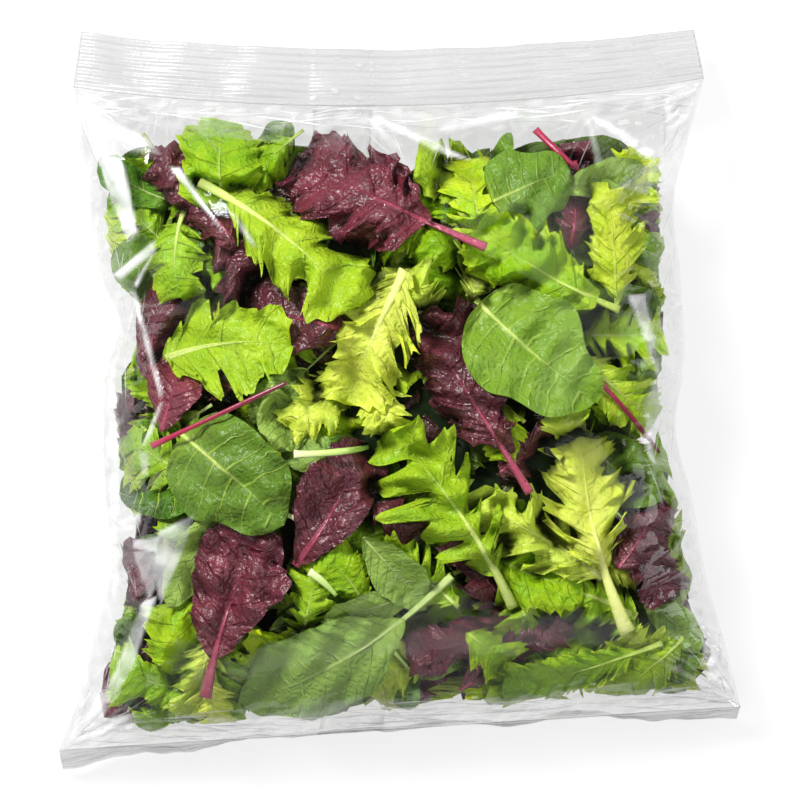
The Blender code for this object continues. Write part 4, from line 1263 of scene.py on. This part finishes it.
RED_LETTUCE_PLACES = (
    ((35, 62), (-44, 101), 49, 0.8, 0.62, 0.3),  # the big one at the top
    ((-68, 64), (-102, 99), 29, 2, 0.2, 0.0),
    ((-76, 72), (-60, 40), 24, 3, 0.15, 0.0),
    ((53, -38), (7, 33), 42, 1.4, 0.02, 0.26),  # the ruffled one in the middle
    ((41, -29), (65, -20), 24, 4.5, 0.3, 0.0),
    ((90, -69), (109, -40), 25, 3.5, 0.2, 0.0),
    ((104, -77), (100, -41), 24, 5, 0.25, 0.0),
    ((51, -90), (2, -105), 24, 3.5, 0.35, 0.0),
    ((46, -86), (25, -55), 26, 5.5, 0.25, 0.0),
    ((25, -121), (71, -93), 14, 3, 0.15, 0.0),
    ((70, 64), (72, 107), 19, 6, 0.1, 0.0),
    ((101, 64), (104, 85), 15, 7, 0.4, 0.0),
    ((-105, -94), (-113, -57), 17, 5, 0.3, 0.05),
    ((-95, -102), (-102, -77), 16, 6, 0.3, 0.0),
    ((-11, -43), (8, -60), 18, 7, 0.1, 0.0),
    ((-9, -124), (20, -106), 19, 7, 0.15, 0.0),
    ((-114, -29), (-116, 2), 14, 7, 0.1, 0.0),
    ((-77, -57), (-61, -33), 20, 7, 0.1, 0.0),
    ((45, 41), (41, 59), 19, 9, 0.1, 0.0),
    ((65, 88), (89, 89), 14, 4.5, 0.8, 0.0),
    ((24, 2), (37, 16), 20, 8, 0.1, 0.0),
)
red_lettuce = placed_leaves(SMOOTH_RED_LEAF, SMOOTH_RED_LEAF_PLACES, 450)
red_lettuce += placed_leaves(RED_LETTUCE, RED_LETTUCE_PLACES, 400)
red_lettuce += scattered_leaves(RED_LETTUCE, 13, (38, 58), (0.55, 0.80), (10, 24), (0.0, 0.4), 15)
red_lettuce += scattered_leaves(RED_LETTUCE, 7, (30, 44), (0.55, 0.80), (3, 7), (0.0, 0.5), 16, rim=True)
red_lettuce += scattered_leaves(RED_LETTUCE, 7, (34, 50), (0.55, 0.80), (11, 24), (0.0, 0.6), 18, rim=True)
red_lettuce += scattered_leaves(RED_LETTUCE, 11, (38, 60), (0.55, 0.80), (1, 7), (0.0, 0.7), 17, face=-1)
red_lettuce += scattered_leaves(RED_LETTUCE, 5, (32, 46), (0.55, 0.80), (8, 22), (0.1, 0.8), 29, face=-1, rim=True)
leaf_piece("red_lettuce", red_lettuce, leaf_material(
    "red lettuce", ("14040a", "460c1a", "80243a", "946238"), "300a14", "7c2440", "b04a66", "6a323c",
    side_veins=6.0, net=(250.0, 0.14), vein_width=0.07, vein_share=0.55, margin_share=0.5, gloss=0.28,
    relief=0.0018, glow=0.14, patchy=1.5, blush="8a4a48", blush_reach=4.5, sheen=0.55,
))

# ---- Frisee ----
# Curly endive: narrow pale leaves, cut deeply into curled lobes with sharp teeth, yellow to white along
# a flat watery rib.

FRISEE = dict(
    base=0.72, tip=0.42, slant=0.80, heart=0.0, lobes=5, lobe_depth=0.56, lobe_gap=0.52,
    teeth=430.0, tooth=4.0 * MM, ruffle=5.4 * MM, waves=130.0, curl=4.4 * MM, buckle=3.0 * MM, blister=1.0 * MM,
    blister_size=6.0 * MM, quilt=0.7 * MM, veins=7, cup=0.26, fold=0.12, arch=0.08, rib=5.0 * MM,
    row=0.7 * MM, column=1.5 * MM,
)
FRISEE_PLACES = (
    ((2, 53), (-23, -2), 37, 1.2, 0.9, 0.0),  # the pale one in the middle
    ((-10, 13), (-46, -11), 24, 2.4, 0.7, 0.0),
    ((-14, 14), (-1, -20), 22, 2.0, 0.8, 0.0),
    ((94, -96), (75, -15), 42, 1.0, 0.95, 0.36),  # the big one at the lower right
    ((84, -73), (33, -42), 28, 2.2, 0.6, 0.0),
    ((77, -49), (65, -2), 26, 4, 0.5, 0.0),
    ((10, 28), (4, 54), 24, 4, 0.45, 0.0),
    ((-114, 50), (-118, 78), 16, 6, 0.35, 0.0),
    ((-79, -118), (-77, -137), 21, 2.2, 0.95, 0.0),
    ((57, -65), (37, -41), 23, 7, 0.3, 0.0),
    ((103, 27), (103, 55), 16, 6, 0.5, 0.0),
    ((118, -102), (120, -122), 16, 6, 0.3, 0.0),
    ((29, 41), (41, 66), 20, 5, 0.4, 0.0),
    ((77, -65), (106, -69), 20, 4, 0.8, 0.0),
)
frisee = placed_leaves(FRISEE, FRISEE_PLACES, 500)
frisee += scattered_leaves(FRISEE, 12, (45, 68), (0.50, 0.72), (9, 22), (0.1, 0.8), 19)
frisee += scattered_leaves(FRISEE, 9, (34, 48), (0.55, 0.75), (2, 6), (0.3, 1.0), 20, rim=True)
frisee += scattered_leaves(FRISEE, 6, (38, 54), (0.55, 0.75), (11, 24), (0.1, 1.0), 22, rim=True)
frisee += scattered_leaves(FRISEE, 11, (45, 70), (0.50, 0.72), (1, 7), (0.2, 1.1), 21, face=-1)
frisee += scattered_leaves(FRISEE, 6, (36, 50), (0.55, 0.75), (8, 22), (0.3, 1.1), 30, face=-1, rim=True)
leaf_piece("frisee", frisee, leaf_material(
    "frisee", ("62a800", "b0d80c", "e8f040", "fcf69c"), "c4e424", "eaf07c", "eef0a4", "ccd860",
    side_veins=7.0, net=(280.0, 0.1), vein_width=0.09, vein_share=0.5, margin_share=0.45, gloss=0.26,
    relief=0.0013, glow=0.32, patchy=1.2, blush="e0e880", blush_reach=1.6, sheen=0.2,
))

# ---- Mizuna, rocket and oak-leaf ----
# Leaves cut nearly to the rib into long forward-pointing lobes, mid green with a pale flat rib.

LOBED_LEAF = dict(
    base=0.72, tip=0.46, slant=0.50, heart=0.0, lobes=6, lobe_depth=0.80, lobe_gap=0.74,
    teeth=190.0, tooth=3.4 * MM, ruffle=2.8 * MM, waves=70.0, curl=3.2 * MM, buckle=2.8 * MM, blister=0.9 * MM,
    blister_size=7.0 * MM, quilt=0.8 * MM, veins=5, cup=0.12, fold=0.10, arch=0.06, rib=3.8 * MM,
    row=0.75 * MM, column=1.5 * MM,
)
OAK_LEAF = dict(
    LOBED_LEAF, base=0.60, tip=0.40, slant=0.62, lobes=4, lobe_depth=0.56, lobe_gap=0.50, teeth=180.0, tooth=4.0 * MM,
    ruffle=4.0 * MM, waves=75.0, curl=3.2 * MM, buckle=2.1 * MM, blister=0.7 * MM,
)
OAK_LEAF_PLACES = (
    ((-83, 90), (-17, 38), 39, 0.8, 0.85, 0.18),  # the light one with a long rib at the top left
    ((-89, 78), (-90, 42), 29, 1.6, 0.5, 0.14),
    ((-97, 17), (-44, 22), 42, 1.5, 0.7, 0.0),  # the broad one on the left
    ((-57, 31), (-13, 33), 22, 4.0, 0.5, 0.0),
)
LOBED_LEAF_PLACES = (
    ((47, -86), (-4, -12), 47, 0.5, 0.65, 0.2),  # the feathery one in the middle
    ((59, 67), (7, 97), 31, 3.5, 0.8, 0.0),
    ((98, -90), (41, -72), 37, 4, 0.45, 0.04),
    ((24, -85), (-9, -60), 22, 4.5, 0.6, 0.05),
    ((119, -84), (105, -32), 21, 5.5, 0.7, 0.1),
    ((-41, -101), (-33, -65), 20, 7, 0.5, 0.0),
    ((68, -124), (39, -122), 18, 4, 0.6, 0.0),
    ((98, -98), (77, -84), 24, 5, 0.4, 0.0),
    ((20, 69), (24, 94), 20, 6, 0.5, 0.0),
)
lobed_leaves = placed_leaves(LOBED_LEAF, LOBED_LEAF_PLACES, 600) + placed_leaves(OAK_LEAF, OAK_LEAF_PLACES, 650)
lobed_leaves += scattered_leaves(LOBED_LEAF, 16, (50, 75), (0.45, 0.65), (9.2, 20), (0.1, 0.8), 23)
lobed_leaves += scattered_leaves(LOBED_LEAF, 8, (34, 50), (0.50, 0.70), (2, 6), (0.2, 0.9), 24, rim=True)
lobed_leaves += scattered_leaves(LOBED_LEAF, 11, (50, 75), (0.45, 0.65), (1, 7), (0.2, 0.9), 25, face=-1)
leaf_piece("lobed_leaves", lobed_leaves, leaf_material(
    "lobed leaf", ("468800", "92c00e", "c8de28", "eef070"), "c8e034", "cce45c", "dce690", "88ac28",
    side_veins=5.0, net=(300.0, 0.14), vein_width=0.055, vein_share=0.8, margin_share=0.6, gloss=0.26,
    relief=0.0014, glow=0.28, patchy=1.2, blush="b8d44c", blush_reach=5.0, sheen=0.2,
))

# ---- Loose stalks ----
# Cut stalks of red chard and pale lettuce that lie among the leaves: slightly grooved rods with a clean
# cut end.

CRIMSON_STALKS = (
    ((-102, -19), (-46, 7), 2.4, 0.1),
    ((82, 7), (108, -22), 2.3, 2.0),
    ((56, 112), (78, 91), 3.0, 3.0),
    ((72, 99), (82, 72), 2.0, 4.5),
)
PALE_STALKS = (
    ((-43, -22), (-11, -19), 3.2, 1.2),
    ((-37, -70), (-26, -80), 3.2, 3.0),
    ((-2, 38), (32, 26), 3.8, 1.5),
    ((80, -36), (95, -53), 3.2, 4.0),
    ((-6, -100), (7, -114), 2.2, 4.0),
    ((-41, -49), (-56, -43), 2.2, 8.0),
)


def loose_stalk(stem, tip, width, depth, seed):
    """One slightly bent stalk of uneven thickness, flared at its cut end, as a leaf without a blade."""
    rng = np.random.default_rng(seed)
    (x1, y1), (x2, y2) = stem, tip
    length = math.hypot(x2 - x1, y2 - y1)
    s = np.linspace(0, 1, max(8, int(length / 1.2)))
    bend = rng.normal(0, 0.025) * length * 4 * s * (1 - s)
    x = (x1 + (x2 - x1) * s - (y2 - y1) / length * bend) * MM
    y = (y1 + (y2 - y1) * s + (x2 - x1) / length * bend) * MM
    thick = width / 2 * MM * (1 - 0.35 * s + 0.10 * np.sin(7 * s + seed) + 0.25 * np.exp(-s * length / 2.5))
    turn = np.arctan2(np.gradient(y), np.gradient(x))
    deep = (depth + width / 2) * MM + np.zeros_like(s)
    return dict(face=1, depth=depth * MM, rod=(x, y, deep, turn, thick), rod_s=s, mean_tint=0.5)


def stalk_material(name, cut_end, middle, far_end):
    """Colour that changes from the cut end to the far end, with fine streaks along the stalk."""
    material, tree, output = new_material(name)
    along = add_node(tree, "Attribute", attribute_name="along").outputs["Fac"]
    ramp = add_node(tree, "ValToRGB", {"Fac": along})
    stops = ramp.color_ramp.elements
    stops[0].position, stops[0].color = 0.0, colour(cut_end)
    stops[1].position, stops[1].color = 1.0, colour(far_end)
    stops.new(0.4).color = colour(middle)
    place = add_node(tree, "TexCoord").outputs["Object"]
    streaks = add_node(tree, "TexNoise", {"Vector": place, "Scale": 900.0, "Detail": 2.0})
    bump = add_node(tree, "Bump", {"Height": streaks.outputs["Fac"], "Distance": 0.0002, "Strength": 0.6})
    shader = add_node(tree, "BsdfPrincipled", {
        "Base Color": ramp.outputs["Color"], "Roughness": 0.32, "Normal": bump.outputs["Normal"],
    })
    tree.links.new(shader.outputs["BSDF"], output.inputs["Surface"])
    return material


leaf_piece(
    "red_stalks", [loose_stalk(*place, 700 + i) for i, place in enumerate(CRIMSON_STALKS)],
    stalk_material("red stalk", "a02a48", "8a1636", "641830"),
)
leaf_piece(
    "pale_stalks", [loose_stalk(*place, 720 + i) for i, place in enumerate(PALE_STALKS)],
    stalk_material("pale stalk", "d6dea4", "b4cc74", "90b84c"),
)

# ---- The heap settles ----
# The leaves lie on one another under the film. From the top down, each is pressed below those that lie
# over it, and none passes through the film. The deeper parts are painted darker, as the heap's shade.

CELL = 1.5 * MM
PILE_ORIGIN = (-0.165, -0.175)
PILE_SHAPE = (234, 220)
# Leaves are painted darker over this depth, as painted shade.
SHADE_FROM, SHADE_TO = 1.5 * MM, 11.5 * MM  # depth below the leaves around, over which leaves turn darker
SHADE_SPREAD = 60  # rounds of smoothing that make up "around"


def pile_cells(x, y):
    """Row and column of the pile's cells that the points lie over."""
    x, y, _, _ = kept_inside(x, y)
    column = np.clip(((x - PILE_ORIGIN[0]) / CELL).astype(int), 1, PILE_SHAPE[1] - 2)
    row = np.clip(((y - PILE_ORIGIN[1]) / CELL).astype(int), 1, PILE_SHAPE[0] - 2)
    return row, column


def pressed(need, rounds):
    """How far each point is pushed down where the needed push is spread to its neighbours."""
    for _ in range(rounds):
        wide = np.pad(need, 1, mode="edge")
        if need.shape[1] > 1:
            mean = (wide[:-2, 1:-1] + wide[2:, 1:-1] + wide[1:-1, :-2] + wide[1:-1, 2:]) / 4
        else:
            mean = (wide[:-2, 1:-1] + wide[2:, 1:-1]) / 2
        need = np.maximum(need, mean)
    return need


def settle(leaves):
    """Takes leaves of one face from the top down, and presses each below those that lie over it."""
    cover = np.full(PILE_SHAPE, FILM_GAP)
    for leaf in sorted(leaves, key=lambda leaf: leaf["depth"]):
        rod_x, rod_y, rod_deep, turn, thick = leaf["rod"]
        rod_row, rod_column = pile_cells(rod_x, rod_y)
        over_rod = cover[rod_row, rod_column] + LEAF_GAP + ROD_HEIGHT * thick
        if "x" in leaf:
            row, column = pile_cells(leaf["x"], leaf["y"])
            before = leaf["deep"]
            lower = max(0.0, FILM_GAP + 0.6 * MM - np.percentile(before, 3))
            need = np.maximum(0.0, cover[row, column] + LEAF_GAP - before - lower)
            leaf["deep"] = before + lower + pressed(need, 5)
            middle = leaf["deep"].shape[1] // 2
            pushed = (leaf["deep"] - before)[:, middle]
            rod_deep = rod_deep + np.interp(leaf["rod_u"], leaf["mid_u"], pushed)
            for row_step in (-1, 0, 1):
                for column_step in (-1, 0, 1):
                    np.maximum.at(cover, (row + row_step, column + column_step), leaf["deep"])
        need = np.maximum(0.0, over_rod - rod_deep)
        rod_deep = rod_deep + pressed(need[:, None], 12)[:, 0]
        leaf["rod"] = (rod_x, rod_y, rod_deep, turn, thick)
        for row_step in (-1, 0, 1):
            for column_step in (-1, 0, 1):
                cells = (rod_row + row_step, rod_column + column_step)
                np.maximum.at(cover, cells, rod_deep + ROD_HEIGHT * thick)


def painted_shading(leaves):
    """How much shade to paint on each point of each leaf: its depth below the topmost leaves around it, none near the
    bag's rim.
    """
    top = np.full(PILE_SHAPE, np.inf)
    for leaf in leaves:
        if "x" in leaf:
            np.minimum.at(top, pile_cells(leaf["x"], leaf["y"]), leaf["deep"])
    top = np.where(np.isinf(top), SHADE_TO, top)
    for _ in range(SHADE_SPREAD):
        wide = np.pad(top, 1, mode="edge")
        top = (wide[:-2, 1:-1] + wide[2:, 1:-1] + wide[1:-1, :-2] + wide[1:-1, 2:] + top) / 5

    def shade_at(x, y, deep):
        across, along = bag_share(x, y)
        from_rim = np.minimum(1 - np.abs(across), 2.2 * np.minimum(along, 1 - along))
        return step(SHADE_FROM, SHADE_TO, deep - top[pile_cells(x, y)]) * step(0.02, 0.24, from_rim)

    for leaf in leaves:
        leaf["shade"] = np.repeat(shade_at(*leaf["rod"][:3]), ROD_SIDES)
        if "x" in leaf:
            leaf["shade"] = np.concatenate((shade_at(leaf["x"], leaf["y"], leaf["deep"]).ravel(), leaf["shade"]))


for face in (1, -1):
    leaves = [leaf for leaf, _ in heap if leaf["face"] == face]
    settle(leaves)
    painted_shading(leaves)
for mesh in {id(mesh): mesh for _, mesh in heap}.values():
    leaves = [leaf for leaf, owner in heap if owner is mesh]
    points = np.concatenate([leaf_points(leaf) for leaf in leaves])
    shade = np.concatenate([leaf["shade"] for leaf in leaves])
    mesh.attributes.new("shade", "FLOAT", "POINT").data.foreach_set("value", shade.astype(np.float32))
    mesh.vertices.foreach_set("co", points.astype(np.float32).ravel())
    mesh.update()
